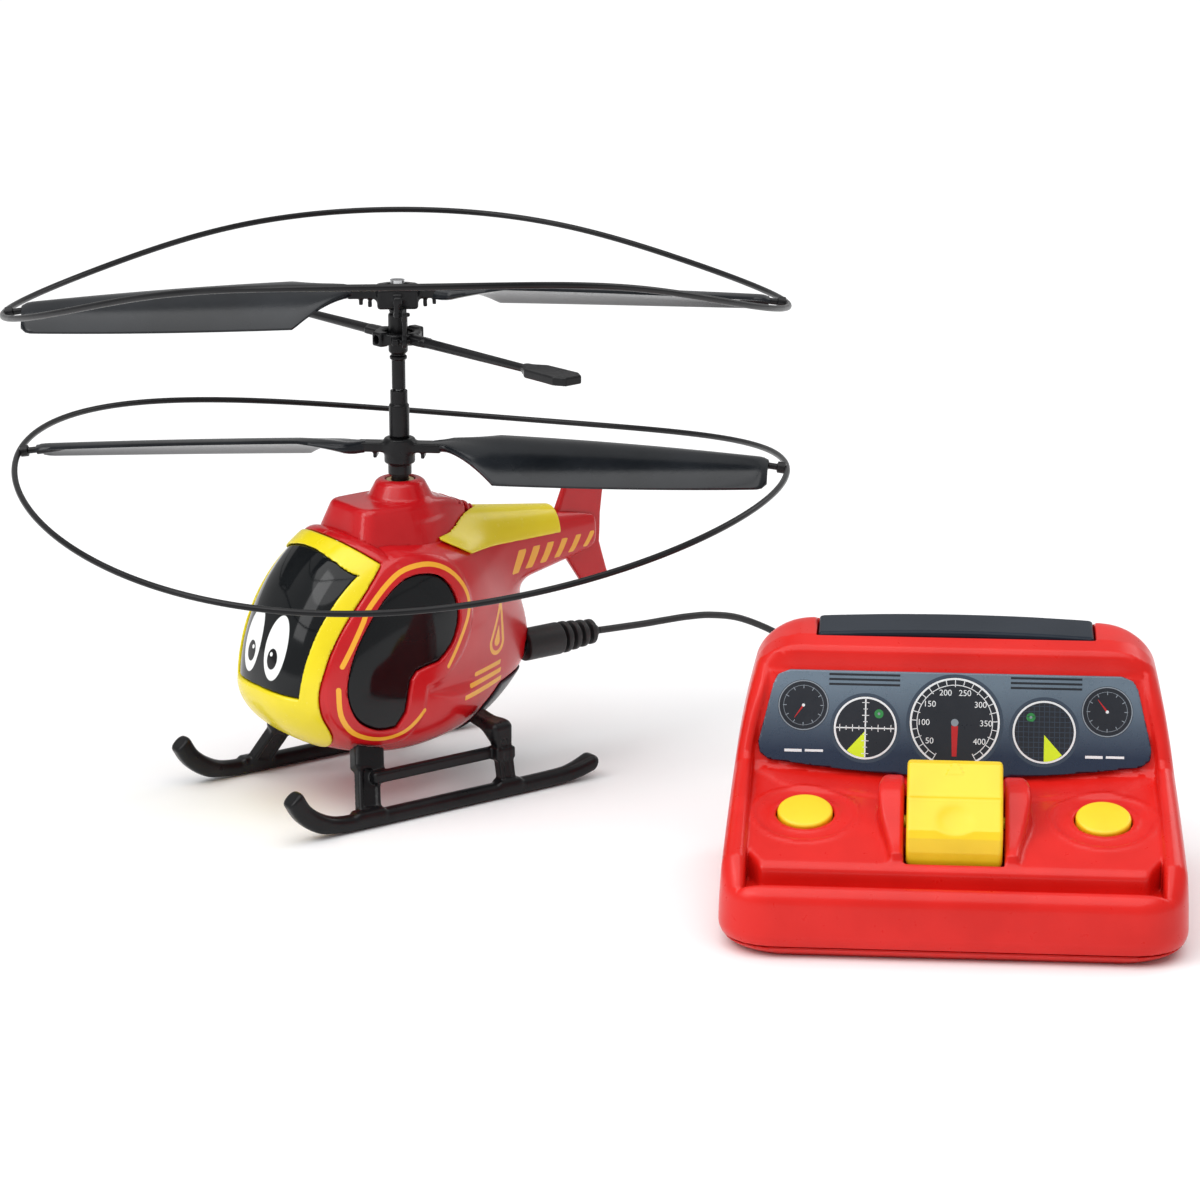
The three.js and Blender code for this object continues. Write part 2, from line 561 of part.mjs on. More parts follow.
// The upper hub rocks on the rotor head's pins, so its bore leaves the shaft room to tilt.
function upperHub() {
  const arms = box(2 * (BLADE.root - GAP), 5, 2.8, [0, 0, 137.2]);
  const body = box(11, 10, 5.6, [0, 0, 136]);
  const pegs = [1, -1].map((side) => joined(
    beam([0, side * 4, FEATHER_Z + 1.4], [0, side * (LINK.reach + 0.9), FEATHER_Z + 1.4], 2.2, 1.6),
    linkPin(side, LINK.top),
    box(1.2, 1.6, 5.6, [-0.4, side * LINK.reach, FEATHER_Z - 0.6]),
  ));
  return less(joined(arms, body, ...pegs), post(3.4, 120, 140),
    bar([-10, 0, FEATHER_Z], [10, 0, FEATHER_Z], 1.15));
}

function addUpperHead() {
  const azimuth = UPPER.azimuth;
  const pins = bar([-5.2, 0, FEATHER_Z], [5.2, 0, FEATHER_Z], 0.8).rotate([0, 0, azimuth]);
  const tiltPins = bar([0, -5.4, FLYBAR.z], [0, 5.4, FLYBAR.z], 0.8).rotate([0, 0, FLYBAR.azimuth]);
  const column = joined(post(1.8, OUTER_MAST.high + 0.6, 122), post(2.4, 121.3, 131.5), post(2.2, 131, 137));
  const head = less(joined(column, pins, tiltPins), post(INNER_SHAFT.r + GAP, 105, 145));
  add(rotors, 'rotor_head', head, BLACK);
  const screw = post(2, INNER_SHAFT.high + GAP, INNER_SHAFT.high + 1.6, [0, 0], 16);
  add(rotors, 'head_screw', less(screw, box(3, 0.5, 0.8, [0, 0, INNER_SHAFT.high + 1.5])), STEEL);

  const ring = less(post(6.3, FLYBAR.z - 1.5, FLYBAR.z + 1.5), post(4.2, 120, 130));
  const rods = [1, -1].map((side) => joined(
    bar([side * 5.6, 0, FLYBAR.z], [side * (FLYBAR.reach - FLYBAR.paddle + 1), 0, FLYBAR.z], 1.3, 1),
    box(FLYBAR.paddle, 8, 2.4, [side * (FLYBAR.reach - FLYBAR.paddle / 2), 0, FLYBAR.z]),
  ));
  const lean = azimuth - FLYBAR.azimuth;
  const ears = [1, -1].map((side) => joined(
    box(1.6, 4, 1.6, [-0.9, side * (LINK.reach - 0.8), FLYBAR.z]),
    linkPin(side, FLYBAR.z),
  ).rotate([0, 0, lean]));
  const flybar = less(joined(ring, ...rods, ...ears), bar([0, -12, FLYBAR.z], [0, 12, FLYBAR.z], 1.15));
  add(rotors, 'flybar', flybar.rotate([0, 0, FLYBAR.azimuth]), BLACK);

  for (const [side, name] of [[1, 'rear'], [-1, 'front']]) {
    const [y, middle] = [side * LINK.reach, (LINK.top + FLYBAR.z) / 2];
    const strap = box(1.1, LINK.width, LINK.top - FLYBAR.z + LINK.width, [LINK.x, y, middle]);
    const eyes = [LINK.top, FLYBAR.z].map((z) => bar([0, y, z], [4, y, z], LINK.eyeR));
    add(rotors, `${name}_mixing_link`, less(strap, ...eyes).rotate([0, 0, azimuth]), BLACK);
  }
}

// ---------------------------------------------------------------- controller

// The controller's side view, one wall thickness smaller for the inside.
function caseProfile(inset) {
  const shape = new THREE.Shape();
  if (inset > 0) {
    return outline([[2.4, -1], [4.6, 12.8], [12.4, 12.8], [13, 19.6], [55.4, 32], [64.6, 55.4],
      [69.5, 60.4], [83, 61], [87.4, 56.5], [87.8, -1]]);
  }
  shape.moveTo(0.8, 0);
  shape.lineTo(2.1, 15.4);
  shape.quadraticCurveTo(2.6, 17.6, 4.4, 17.6);
  shape.quadraticCurveTo(6.4, 17.5, 7.2, 15.6);
  shape.lineTo(9.6, 15.1);
  shape.lineTo(10.2, 20.2);
  shape.quadraticCurveTo(10.4, 21.5, DECK.y, DECK.z);
  shape.lineTo(53.4, 34);
  shape.lineTo(54.4, 35);
  shape.lineTo(62.5, 55.4);
  shape.quadraticCurveTo(65, 61.6, 70, 62.8);
  shape.lineTo(83, 63.6);
  shape.quadraticCurveTo(88.4, 63.4, 89, 58);
  shape.lineTo(CASE.depth, 0);
  return shape;
}

function caseBlock(inset, low, high) {
  const plan = roundRect(-CASE.half + inset, inset, CASE.half - inset, CASE.depth - inset,
    CASE_CORNER_R - inset);
  const block = new THREE.ExtrudeGeometry(plan, {
    depth: high - low, bevelEnabled: false, curveSegments: 3,
  });
  return solid(reshape(block, ([x, y, z]) => [x * (1 - CASE.draft * (z + low)), y, z + low]));
}

const onDeck = (y) => DECK.z + (y - DECK.y) * Math.tan(rad(DECK.slope));

// The round-cornered shape that holds the dials, in the panel's own plane.
function gaugeOutline(inset) {
  const shape = new THREE.Shape();
  shape.moveTo(0, 0.6 + inset);
  shape.lineTo(46.5 - inset, 0.6 + inset);
  shape.quadraticCurveTo(50 - inset, 1 + inset, 49 - inset, 6);
  shape.lineTo(44.6 - inset, 19);
  shape.quadraticCurveTo(43.4 - inset, 22 - inset, 40, 22 - inset);
  shape.lineTo(-40, 22 - inset);
  shape.quadraticCurveTo(-43.4 + inset, 22 - inset, -44.6 + inset, 19);
  shape.lineTo(-49 + inset, 6);
  shape.quadraticCurveTo(-50 + inset, 1 + inset, -46.5 + inset, 0.6 + inset);
  return shape;
}
const PANEL_LEAN = THREE.MathUtils.radToDeg(Math.atan2(55.4 - 35, 62.5 - 54.4));
const onPanel = (shape, low, high) =>
  solid(extrude(shape, high - low).translate(0, 0, low), [0, 54.4, 35], [PANEL_LEAN, 0, 0]);

function addController() {
  const outer = caseBlock(0, 0, CASE.high).intersect(endProfile(caseProfile(0), 70));
  const inner = caseBlock(CASE.wall, -1, CASE.high).intersect(endProfile(caseProfile(1), 70));
  const above = box(200, 200, 100, [0, 45, 50 + CASE.seam + GAP]);
  const deckTurn = [DECK.slope, 0, 0];
  const buttonHole = (x, r) => post(r, -30, 30).rotate(deckTurn).translate([x, BUTTON.y, onDeck(BUTTON.y)]);
  const rims = [-BUTTON.x, BUTTON.x].map((x) => post(BUTTON.r + 1.6, -1.2, 0.8, [0, 0], 18)
    .rotate(deckTurn).translate([x, BUTTON.y, onDeck(BUTTON.y)]));
  const cheek = new THREE.Shape();
  cheek.moveTo(13.5, onDeck(13.5) - 1);
  cheek.quadraticCurveTo(20, 36, 30, 38);
  cheek.quadraticCurveTo(38, 39, 50, onDeck(50) - 1);
  cheek.lineTo(30, onDeck(20));
  const cheekMiddle = LEVER.half + 0.5 + LEVER.cheek / 2;
  const cheeks = [-1, 1].map((side) => endProfile(cheek, LEVER.cheek / 2, side * cheekMiddle));
  const leverSlot = box(2 * (LEVER.half + 0.5), 35, 40, [0, 12.8 + 17.5, 30]);
  const axle = bar([-18, LEVER.y, LEVER.z], [18, LEVER.y, LEVER.z], 1.5 + GAP);
  const switchSlot = box(10, 8.2, 4.4, [57, 31.1, SWITCH_Z]);
  const cordHole = bar([GROMMET.x, 80, GROMMET.z], [GROMMET.x, 100, GROMMET.z], 2.6);
  const eyeY = (EYE_WINDOW.low + EYE_WINDOW.high) / 2;
  const eyeSlot = box(2 * (EYE_WINDOW.half + GAP), 14.6, 6, [0, eyeY, 62.6]);
  const top = less(joined(less(outer, inner), ...rims, ...cheeks).intersect(above),
    leverSlot, axle, switchSlot, cordHole, eyeSlot, onPanel(gaugeOutline(0), -1, 5),
    ...[-1, 1].map((side) => buttonHole(side * BUTTON.x, BUTTON.r + 0.3)));
  add(controller, 'controller_top_case', biggest(top), RED);

  const floor = caseBlock(0, 0, CASE.seam);
  const wellX = (CELL.count / 2) * CELL.pitch + 0.9;
  const well = box(2 * wellX + 3.2, 55.2, 17.4, [0, CELL.y, CASE.seam + 8.2]);
  const wellRoom = box(2 * wellX, 52, 17.4 + 4, [0, CELL.y, CASE.seam + 4.6]);
  const doorRecess = box(2 * wellX + 5.4, DOOR.depth + 0.8, 4, [0, DOOR.y, -0.2]);
  const base = less(joined(floor, well), wellRoom, doorRecess);
  add(controller, 'controller_bottom_case', biggest(base), RED);
  const screwHole = post(1.7, -5, 5, [0, DOOR.y - DOOR.depth / 2 + 2.8]);
  const door = less(box(2 * wellX + 4.6, DOOR.depth, DOOR.thick, [0, DOOR.y, 0.9]), screwHole);
  add(controller, 'battery_door', door, RED);
  for (let i = 0; i < CELL.count; i += 1) {
    const x = (i - (CELL.count - 1) / 2) * CELL.pitch;
    const way = i % 2 ? 1 : -1;
    const at = (along) => [x, CELL.y + way * along, CELL.z];
    const half = CELL.length / 2;
    const cell = joined(
      bar(at(-half), at(half - 1), CELL.r, CELL.r, 16),
      bar(at(half - 1.5), at(half), 2.7, 2.7, 10),
    );
    add(controller, `battery_cell_${i + 1}`, cell, SILVER_FOIL);
  }
  const plate = planProfile(roundRect(-46, 14.6, 46, 29.5, 2), 9, 10.4);
  add(controller, 'controller_circuit_board', plate, BOARD);

  add(controller, 'gauge_panel', onPanel(gaugeOutline(GAP), -0.7, 0.2), NAVY);
  const glass = box(2 * EYE_WINDOW.half, 14, 2.2, [0, eyeY, 63]).intersect(endProfile(outline([
    [EYE_WINDOW.low, 61.9], [EYE_WINDOW.low, 62.9], [EYE_WINDOW.high - 1.4, 63.7],
    [EYE_WINDOW.high, 63.2], [EYE_WINDOW.high, 61.9],
  ]), 60));
  add(controller, 'infrared_window', glass, NAVY);
  const led = joined(post(2.5, 53.5, 58, [0, 77], 12),
    solid(new THREE.SphereGeometry(2.5, 12, 8), [0, 77, 58]));
  add(controller, 'infrared_led', led, GLOSS_BLACK);

  const rocker = new THREE.Shape();
  rocker.moveTo(14.4, 20.4);
  rocker.lineTo(14, 27.5);
  rocker.quadraticCurveTo(14.4, 31.4, 18, 32.4);
  rocker.lineTo(21.4, 36);
  rocker.lineTo(29.6, 41.4);
  rocker.quadraticCurveTo(33, 41.6, 34.4, 39);
  rocker.lineTo(37, 33);
  rocker.lineTo(33, 25);
  rocker.lineTo(20, 20);
  const trunnions = bar([-16.6, LEVER.y, LEVER.z], [16.6, LEVER.y, LEVER.z], 1.5);
  add(controller, 'throttle_lever', joined(endProfile(rocker, LEVER.half), trunnions), YELLOW);

  for (const [side, name] of [[-1, 'left'], [1, 'right']]) {
    const cap = joined(
      post(BUTTON.r, -3, BUTTON.lift - 0.6, [0, 0], 18),
      solid(new THREE.CylinderGeometry(BUTTON.r - 0.9, BUTTON.r, 0.6, 18).rotateX(Math.PI / 2),
        [0, 0, BUTTON.lift - 0.3]),
      post(2, -12, -2.5),
    ).rotate(deckTurn).translate([side * BUTTON.x, BUTTON.y, onDeck(BUTTON.y)]);
    add(controller, `${name}_button`, cap, YELLOW);
  }
  const knob = joined(box(6.6, 4.6, 3.6, [53.3, 29.6, SWITCH_Z]), box(2, 9.6, 4.2, [49.4, 29.6, SWITCH_Z]));
  add(controller, 'side_switch', knob, YELLOW);

  const relief = turned([
    [0, 0], [3.4, 0], [3.4, 1.6], [2.3, 1.6], [1.7, GROMMET.length], [0, GROMMET.length],
  ], 12);
  const place = [GROMMET.x, CASE.depth + GAP, GROMMET.z];
  add(controller, 'cord_grommet', relief.rotate([-90, 0, 0]).translate(place), RUBBER);
}

// ---------------------------------------------------------------- charging lead

function addLead() {
  const steps = [[0, -42.6], [3.6, -42.6], [4.5, -43.6], [4.5, -53]];
  for (let rib = 0; rib < 4; rib += 1) {
    const x = -54 - rib * 3;
    const r = 4.6 - rib * 0.25;
    steps.push([r - 1.3, x + 0.6], [r - 1.3, x - 0.4], [r, x - 0.6], [r, x - 2]);
  }
  steps.push([2.2, -66.2], [0, -66.2]);
  const boot = turned(steps.map(([r, x]) => [r, -x]), 10).rotate([0, -90, 0]).translate([0, 0, PLUG_Z]);
  add(helicopter, 'charge_plug', boot, RUBBER);
  const tip = joined(bar([-42.3, 0, PLUG_Z], [-31.4, 0, PLUG_Z], 1.7),
    bar([-31.5, 0, PLUG_Z], [-30.4, 0, PLUG_Z], 1.7, 0.8));
  add(helicopter, 'plug_tip', tip, STEEL);
  const cord = tube(CORD_ROUTE, CORD_R, CORD_STEPS);
  add(rotors, 'charge_cord', cord, RUBBER);
}

addFuselage();
addSkids();
addDrive();
addElectrics();
addRotor(LOWER, 'lower', lowerHub());
addRotor(UPPER, 'upper', upperHub());
addUpperHead();
addController();
addLead();

const toy = new THREE.Group();
toy.add(helicopter, rotors, controller);
export default toy;
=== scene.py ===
"""Looks of the remote control helicopter and its controller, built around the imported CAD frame.

Shapes are written in millimetres in two local frames, as the CAD is: the helicopter's, with its
mast at the origin, +X to the nose and +Y to its left, and the controller's, with the middle of
its front bottom edge at the origin. They turn into metres in the row frame when a mesh is made.
Most moulded pieces are signed distance fields, so that their edges and joints are rounded.
"""

import math

import bpy
import numpy as np
from mathutils import Matrix, Vector


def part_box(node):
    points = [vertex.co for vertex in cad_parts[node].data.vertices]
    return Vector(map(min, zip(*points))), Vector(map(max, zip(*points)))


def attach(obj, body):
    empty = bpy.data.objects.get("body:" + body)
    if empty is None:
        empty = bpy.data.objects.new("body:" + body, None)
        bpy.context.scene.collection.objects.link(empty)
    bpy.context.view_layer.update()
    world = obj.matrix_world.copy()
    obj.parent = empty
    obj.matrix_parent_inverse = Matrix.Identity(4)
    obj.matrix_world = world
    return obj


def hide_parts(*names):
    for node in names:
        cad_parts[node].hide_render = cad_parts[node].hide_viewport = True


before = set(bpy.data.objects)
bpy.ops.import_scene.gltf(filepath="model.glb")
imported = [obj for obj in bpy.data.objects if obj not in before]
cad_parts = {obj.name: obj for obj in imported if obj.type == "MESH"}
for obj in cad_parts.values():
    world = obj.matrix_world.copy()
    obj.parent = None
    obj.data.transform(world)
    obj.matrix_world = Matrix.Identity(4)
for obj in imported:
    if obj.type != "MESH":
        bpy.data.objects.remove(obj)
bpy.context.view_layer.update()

MM = 0.001
FINE = 1.12  # grid steps are stretched by this; 1.12 gives a million triangles


def placed(name, data):
    """A new object in the scene."""
    made = bpy.data.objects.new(name, data)
    bpy.context.scene.collection.objects.link(made)
    return made


def middle(node):
    low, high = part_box(node)
    return (low + high) / 2


mast = middle("outer_mast")
case_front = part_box("controller_bottom_case")[0].y
HEADING = math.radians(220.23)
MAST = Matrix.Translation((mast.x, mast.y, 0))
HELI = MAST @ Matrix.Rotation(HEADING, 4, "Z") @ Matrix.Scale(MM, 4)
CONTROL = Matrix.Translation((middle("controller_bottom_case").x, case_front, 0)) @ Matrix.Scale(MM, 4)


def turned_rotor(azimuth):
    """The frame of a rotor whose first blade lies at that azimuth."""
    return MAST @ Matrix.Rotation(math.radians(azimuth), 4, "Z") @ Matrix.Scale(MM, 4)


# ---------------------------------------------------------------- camera

# fitted to points seen in the photograph, with its distance held
camera_data = bpy.data.cameras.new("camera")
camera_data.lens = 119.47
camera = placed("camera", camera_data)
camera.location = (mast.x + 0.13528, mast.y - 1.0416, 0.3508)
camera.rotation_euler = (math.radians(74.067), 0, math.radians(4.437))
bpy.context.scene.camera = camera


# ---------------------------------------------------------------- distance fields


def smooth_min(a, b, width):
    overlap = np.maximum(width - np.abs(a - b), 0) / width
    return np.minimum(a, b) - overlap * overlap * width / 4


def smooth_max(a, b, width):
    return -smooth_min(-a, -b, width)


def ease(value, low, high):
    t = np.clip((value - low) / (high - low), 0, 1)
    return t * t * (3 - 2 * t)


def fading(value):
    """Smoothly 1 well below zero and 0 well above it."""
    return 1 / (1 + np.exp(np.clip(value, -30, 30)))


def turned(x, y, angle):
    """Plane coordinates along axes turned by the angle."""
    c, s = math.cos(angle), math.sin(angle)
    return x * c + y * s, -x * s + y * c


def block(x, y, z, half, radius=0.4):
    """A box about the origin with round edges."""
    q = [np.abs(v) - (h - radius) for v, h in zip((x, y, z), half)]
    outside = np.sqrt(sum(np.maximum(v, 0) ** 2 for v in q))
    return outside + np.minimum(np.maximum.reduce(q), 0) - radius


def rod(x, y, z, start, end, radius, end_radius=None):
    """A round bar with domed ends, tapering if end_radius is given."""
    a, b = np.array(start, float), np.array(end, float)
    along = b - a
    t = ((x - a[0]) * along[0] + (y - a[1]) * along[1] + (z - a[2]) * along[2]) / (along @ along)
    t = np.clip(t, 0, 1)
    off = np.sqrt(sum((v - a[i] - t * along[i]) ** 2 for i, v in enumerate((x, y, z))))
    return off - (radius + t * ((radius if end_radius is None else end_radius) - radius))


def drum(x, y, z, radius, low, high, edge=0.4):
    """An upright cylinder with a rounded rim."""
    side = np.hypot(x, y) - (radius - edge)
    cap = np.abs(z - (low + high) / 2) - ((high - low) / 2 - edge)
    outside = np.hypot(np.maximum(side, 0), np.maximum(cap, 0))
    return outside + np.minimum(np.maximum(side, cap), 0) - edge


def spline(points, per_span=6, closed=True):
    """Points of a smooth curve through the given ones."""
    p = np.array(points, float)
    n = len(p)
    spans = n if closed else n - 1
    pick = (lambda i: p[i % n]) if closed else (lambda i: p[min(max(i, 0), n - 1)])
    made = []
    for i in range(spans):
        a, b, c, d = pick(i - 1), pick(i), pick(i + 1), pick(i + 2)
        for t in np.arange(per_span) / per_span:
            made.append(0.5 * (2 * b + (c - a) * t + (2 * a - 5 * b + 4 * c - d) * t * t
                               + (3 * b - a - 3 * c + d) * t ** 3))
    return made if closed else made + [p[-1]]


def curve(points, per_span=4):
    """An open smooth line as a list of points, to build an outline from."""
    return [tuple(p) for p in spline(points, per_span, closed=False)]


def path_distance(points, closed):
    """How far a 2-D point is from a line of points: the least over its segments."""
    a = np.array(points, float)
    b = np.roll(a, -1, 0)
    pairs = list(zip(a, b)) if closed else list(zip(a, b))[:-1]

    def distance(u, v):
        best = np.full(u.shape, 1e9)
        for (ax, ay), (bx, by) in pairs:
            dx, dy = bx - ax, by - ay
            px, py = u - ax, v - ay
            t = np.clip((px * dx + py * dy) / (dx * dx + dy * dy), 0, 1)
            np.minimum(best, (px - t * dx) ** 2 + (py - t * dy) ** 2, out=best)
        return np.sqrt(best)

    return distance


def shrunk(points, by):
    """The outline with each side moved inwards."""
    p = np.array(points, float)
    before, after = p - np.roll(p, 1, 0), np.roll(p, -1, 0) - p
    turning = np.sign(np.sum(p[:, 0] * np.roll(p[:, 1], -1) - p[:, 1] * np.roll(p[:, 0], -1)))
    unit = lambda v: v / np.linalg.norm(v, axis=1)[:, None]
    before, after = unit(before), unit(after)
    inward = turning * np.stack([-(before + after)[:, 1], (before + after)[:, 0]], 1)
    cosine = np.sum(before * after, 1)
    return p + by * inward / (1 + cosine)[:, None]


def outline(points, radius=0.0):
    """The signed distance to a closed 2-D outline, its outer corners rounded."""
    p = shrunk(points, radius) if radius else np.array(points, float)
    line = path_distance(p, True)
    sides = list(zip(p, np.roll(p, -1, 0)))

    def distance(u, v):
        inside = np.zeros(u.shape, bool)
        for (ax, ay), (bx, by) in sides:
            if ay != by:
                inside ^= ((ay > v) != (by > v)) & (u < (bx - ax) * (v - ay) / (by - ay) + ax)
        return np.where(inside, -1, 1) * line(u, v) - radius

    return distance


# ---------------------------------------------------------------- meshes from fields

BLOCK_CELLS = 6
CORNERS = np.array([[i, j, k] for i in (0, 1) for j in (0, 1) for k in (0, 1)])
EDGES = [(a, b) for a in range(8) for b in range(a + 1, 8) if np.abs(CORNERS[a] - CORNERS[b]).sum() == 1]


def sampled(field, low, step, count):
    """The field on a grid: its values near the surface, and only its sign elsewhere."""
    blocks = -(-count // BLOCK_CELLS)
    centres = [low[a] + step * BLOCK_CELLS * (np.arange(blocks[a]) + 0.5) for a in range(3)]
    coarse = field(*[g.ravel() for g in np.meshgrid(*centres, indexing="ij")]).reshape(blocks)

    def spread(array):
        for axis in range(3):
            array = array.repeat(BLOCK_CELLS, axis)
        return array[: count[0], : count[1], : count[2]]

    near = spread(np.abs(coarse) < 1.25 * step * BLOCK_CELLS).copy()
    for axis in range(3):
        ahead = [slice(None)] * 3
        behind = [slice(None)] * 3
        ahead[axis], behind[axis] = slice(1, None), slice(None, -1)
        near[tuple(ahead)] |= near[tuple(behind)].copy()
    values = np.where(spread(coarse) < 0, -99.0, 99.0)
    at = np.argwhere(near)
    values[near] = field(*(low + step * at).T)
    return values


def slope(field, p, reach=0.02):
    steps = np.eye(3) * reach
    return np.stack([(field(*(p + s).T) - field(*(p - s).T)) / (2 * reach) for s in steps], 1)


def surface(field, low, high, step):
    """Vertices, quads and normals of the field's zero surface, by surface nets."""
    low = np.array(low, float) - 2 * step
    count = np.ceil((np.array(high, float) + 2 * step - low) / step).astype(int) + 1
    values = sampled(field, low, step, count)
    inside = values < 0
    tally = np.zeros(count - 1, np.uint8)
    window = lambda c: tuple(slice(o, n - 1 + o) for o, n in zip(c, count))
    for corner in CORNERS:
        tally += inside[window(corner)]
    cells = np.argwhere((tally > 0) & (tally < 8))
    number = np.full(count - 1, -1, np.int32)
    number[tuple(cells.T)] = np.arange(len(cells))
    corner_values = np.stack([values[tuple((cells + c).T)] for c in CORNERS], 1)
    total = np.zeros((len(cells), 3))
    crossings = np.zeros(len(cells))
    for a, b in EDGES:
        va, vb = corner_values[:, a], corner_values[:, b]
        crosses = (va < 0) != (vb < 0)
        share = np.where(crosses, va / np.where(crosses, va - vb, 1), 0)
        total += crosses[:, None] * (CORNERS[a] + share[:, None] * (CORNERS[b] - CORNERS[a]))
        crossings += crosses
    points = low + step * (cells + total / crossings[:, None])
    quads = []
    for axis in range(3):
        u, v = [(1, 2), (2, 0), (0, 1)][axis]
        first = [slice(1, -1)] * 3
        first[axis] = slice(0, -1)
        second = list(first)
        second[axis] = slice(1, None)
        here, there = inside[tuple(first)], inside[tuple(second)]
        at = np.argwhere(here != there)
        leaving = here[tuple(at.T)]
        at = at + [1 if a != axis else 0 for a in range(3)]
        du, dv = np.eye(3, dtype=int)[u], np.eye(3, dtype=int)[v]
        ring = [number[tuple((at - shift).T)] for shift in (du + dv, dv, 0 * du, du)]
        quad = np.stack(ring, 1)
        quads.append(np.where(leaving[:, None], quad, quad[:, ::-1]))
    for _ in range(2):
        value, grade = field(*points.T), slope(field, points)
        size = np.maximum(np.sum(grade * grade, 1), 0.05)
        move = np.clip(value / size, -0.5 * step, 0.5 * step)
        points = points - move[:, None] * grade
    normals = slope(field, points)
    normals /= np.maximum(np.linalg.norm(normals, axis=1), 1e-9)[:, None]
    return points, np.concatenate(quads), normals


def mesh_object(name, points, faces, place, normals=None, paint=None, flip=False, sharp=None):
    """A mesh in metres in the row frame from local millimetres; flip mirrors it across Y."""
    points = np.asarray(points, float)
    marks = {key: mark(*points.T) for key, mark in (paint or {}).items()}
    sign = np.array([1, -1, 1]) if flip else np.ones(3)
    to = np.array(place, float)
    world = (points * sign) @ to[:3, :3].T + to[:3, 3]
    mesh = bpy.data.meshes.new(name)
    order = -1 if flip else 1
    faces = [tuple(int(i) for i in face[::order]) for face in faces]
    mesh.from_pydata(world.tolist(), [], faces)
    mesh.polygons.foreach_set("use_smooth", [True] * len(mesh.polygons))
    for key, values in marks.items():
        mesh.attributes.new(key, "FLOAT", "POINT").data.foreach_set("value", values.astype(np.float32))
    mesh.validate()
    if normals is not None:
        turned = (normals * sign) @ to[:3, :3].T
        turned /= np.linalg.norm(turned, axis=1)[:, None]
        mesh.normals_split_custom_set_from_vertices(turned.tolist())
    if sharp is not None:
        mesh.set_sharp_from_angle(angle=math.radians(sharp))
    return placed(name, mesh)


def moulded(name, field, low, high, step, place, **more):
    points, quads, normals = surface(field, low, high, step * FINE)
    return mesh_object(name, points, quads, place, normals, **more)


def set_look(piece, material):
    if piece.data.materials:
        piece.data.materials[0] = material
    else:
        piece.data.materials.append(material)


def tidy_piece(piece, body, material, slot, *nodes):
    """Dresses a piece, puts it on its body and lets it stand for its CAD nodes."""
    set_look(piece, material)
    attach(piece, body)
    if nodes:
        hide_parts(*nodes)
    return piece


# ---------------------------------------------------------------- materials


def node_material(name, colour, roughness, metallic=0.0, coat=0.0, grain=0.05, grain_scale=900.0,
                  variation=0.06, wear=0.12, paints=(), blotch_scale=45.0, specular=0.5):
    """Moulded plastic, rubber or metal: colour that varies slowly, scuffed roughness, a fine
    moulded grain and paler edges. paints are (attribute, colour) prints laid where the
    attribute, a distance in millimetres, is negative; with a span they fade out over it."""
    material = bpy.data.materials.new(name)
    material.use_nodes = True
    nodes, links = material.node_tree.nodes, material.node_tree.links
    shader = nodes["Principled BSDF"]
    shader.inputs["Metallic"].default_value = metallic
    shader.inputs["Coat Weight"].default_value = coat
    shader.inputs["Coat Roughness"].default_value = 0.08
    shader.inputs["Specular IOR Level"].default_value = specular
    place = nodes.new("ShaderNodeTexCoord")

    def noise(scale, detail=3.0, rough=0.55):
        made = nodes.new("ShaderNodeTexNoise")
        made.inputs["Scale"].default_value = scale
        made.inputs["Detail"].default_value = detail
        made.inputs["Roughness"].default_value = rough
        links.new(place.outputs["Object"], made.inputs["Vector"])
        return made.outputs["Fac"]

    def ranged(source, low, high, to_low, to_high):
        made = nodes.new("ShaderNodeMapRange")
        for key, value in (("From Min", low), ("From Max", high), ("To Min", to_low), ("To Max", to_high)):
            made.inputs[key].default_value = value
        links.new(source, made.inputs["Value"])
        return made.outputs["Result"]

    def mix(fac, a, b):
        made = nodes.new("ShaderNodeMix")
        made.data_type = "RGBA"
        links.new(fac, made.inputs["Factor"])
        for socket, value in ((made.inputs["A"], a), (made.inputs["B"], b)):
            if isinstance(value, tuple):
                socket.default_value = (*value, 1)
            else:
                links.new(value, socket)
        return made.outputs["Result"]

    dark = tuple(c * (1 - variation) for c in colour)
    pale = tuple(min(1, c * (1 + variation) + 0.004) for c in colour)
    tint = mix(ranged(noise(blotch_scale), 0.35, 0.65, 0, 1), dark, pale)
    edges = nodes.new("ShaderNodeNewGeometry")
    rim = ranged(edges.outputs["Pointiness"], 0.53, 0.62, 0, wear)
    worn = tuple(min(1, 0.55 * c + 0.3 * max(colour) + 0.05) for c in colour)
    tint = mix(rim, tint, worn)
    for attribute, print_colour, *span in paints:
        field = nodes.new("ShaderNodeAttribute")
        field.attribute_name = attribute
        tint = mix(ranged(field.outputs["Fac"], *(span or (-0.05, 0.05)), 1, 0), tint, print_colour)
    links.new(tint, shader.inputs["Base Color"])
    scuffs = noise(blotch_scale * 9, 5.0, 0.7)
    links.new(ranged(scuffs, 0.3, 0.75, roughness * 0.88, min(1, roughness * 1.18 + 0.01)),
              shader.inputs["Roughness"])
    bump = nodes.new("ShaderNodeBump")
    bump.inputs["Strength"].default_value = grain
    bump.inputs["Distance"].default_value = 0.0002
    links.new(noise(grain_scale, 2.0), bump.inputs["Height"])
    links.new(bump.outputs["Normal"], shader.inputs["Normal"])
    return material


PRINT_GOLD = (0.93, 0.45, 0.035)
EYE_WHITE = (0.86, 0.88, 0.87)
PUPIL = (0.004, 0.004, 0.005)

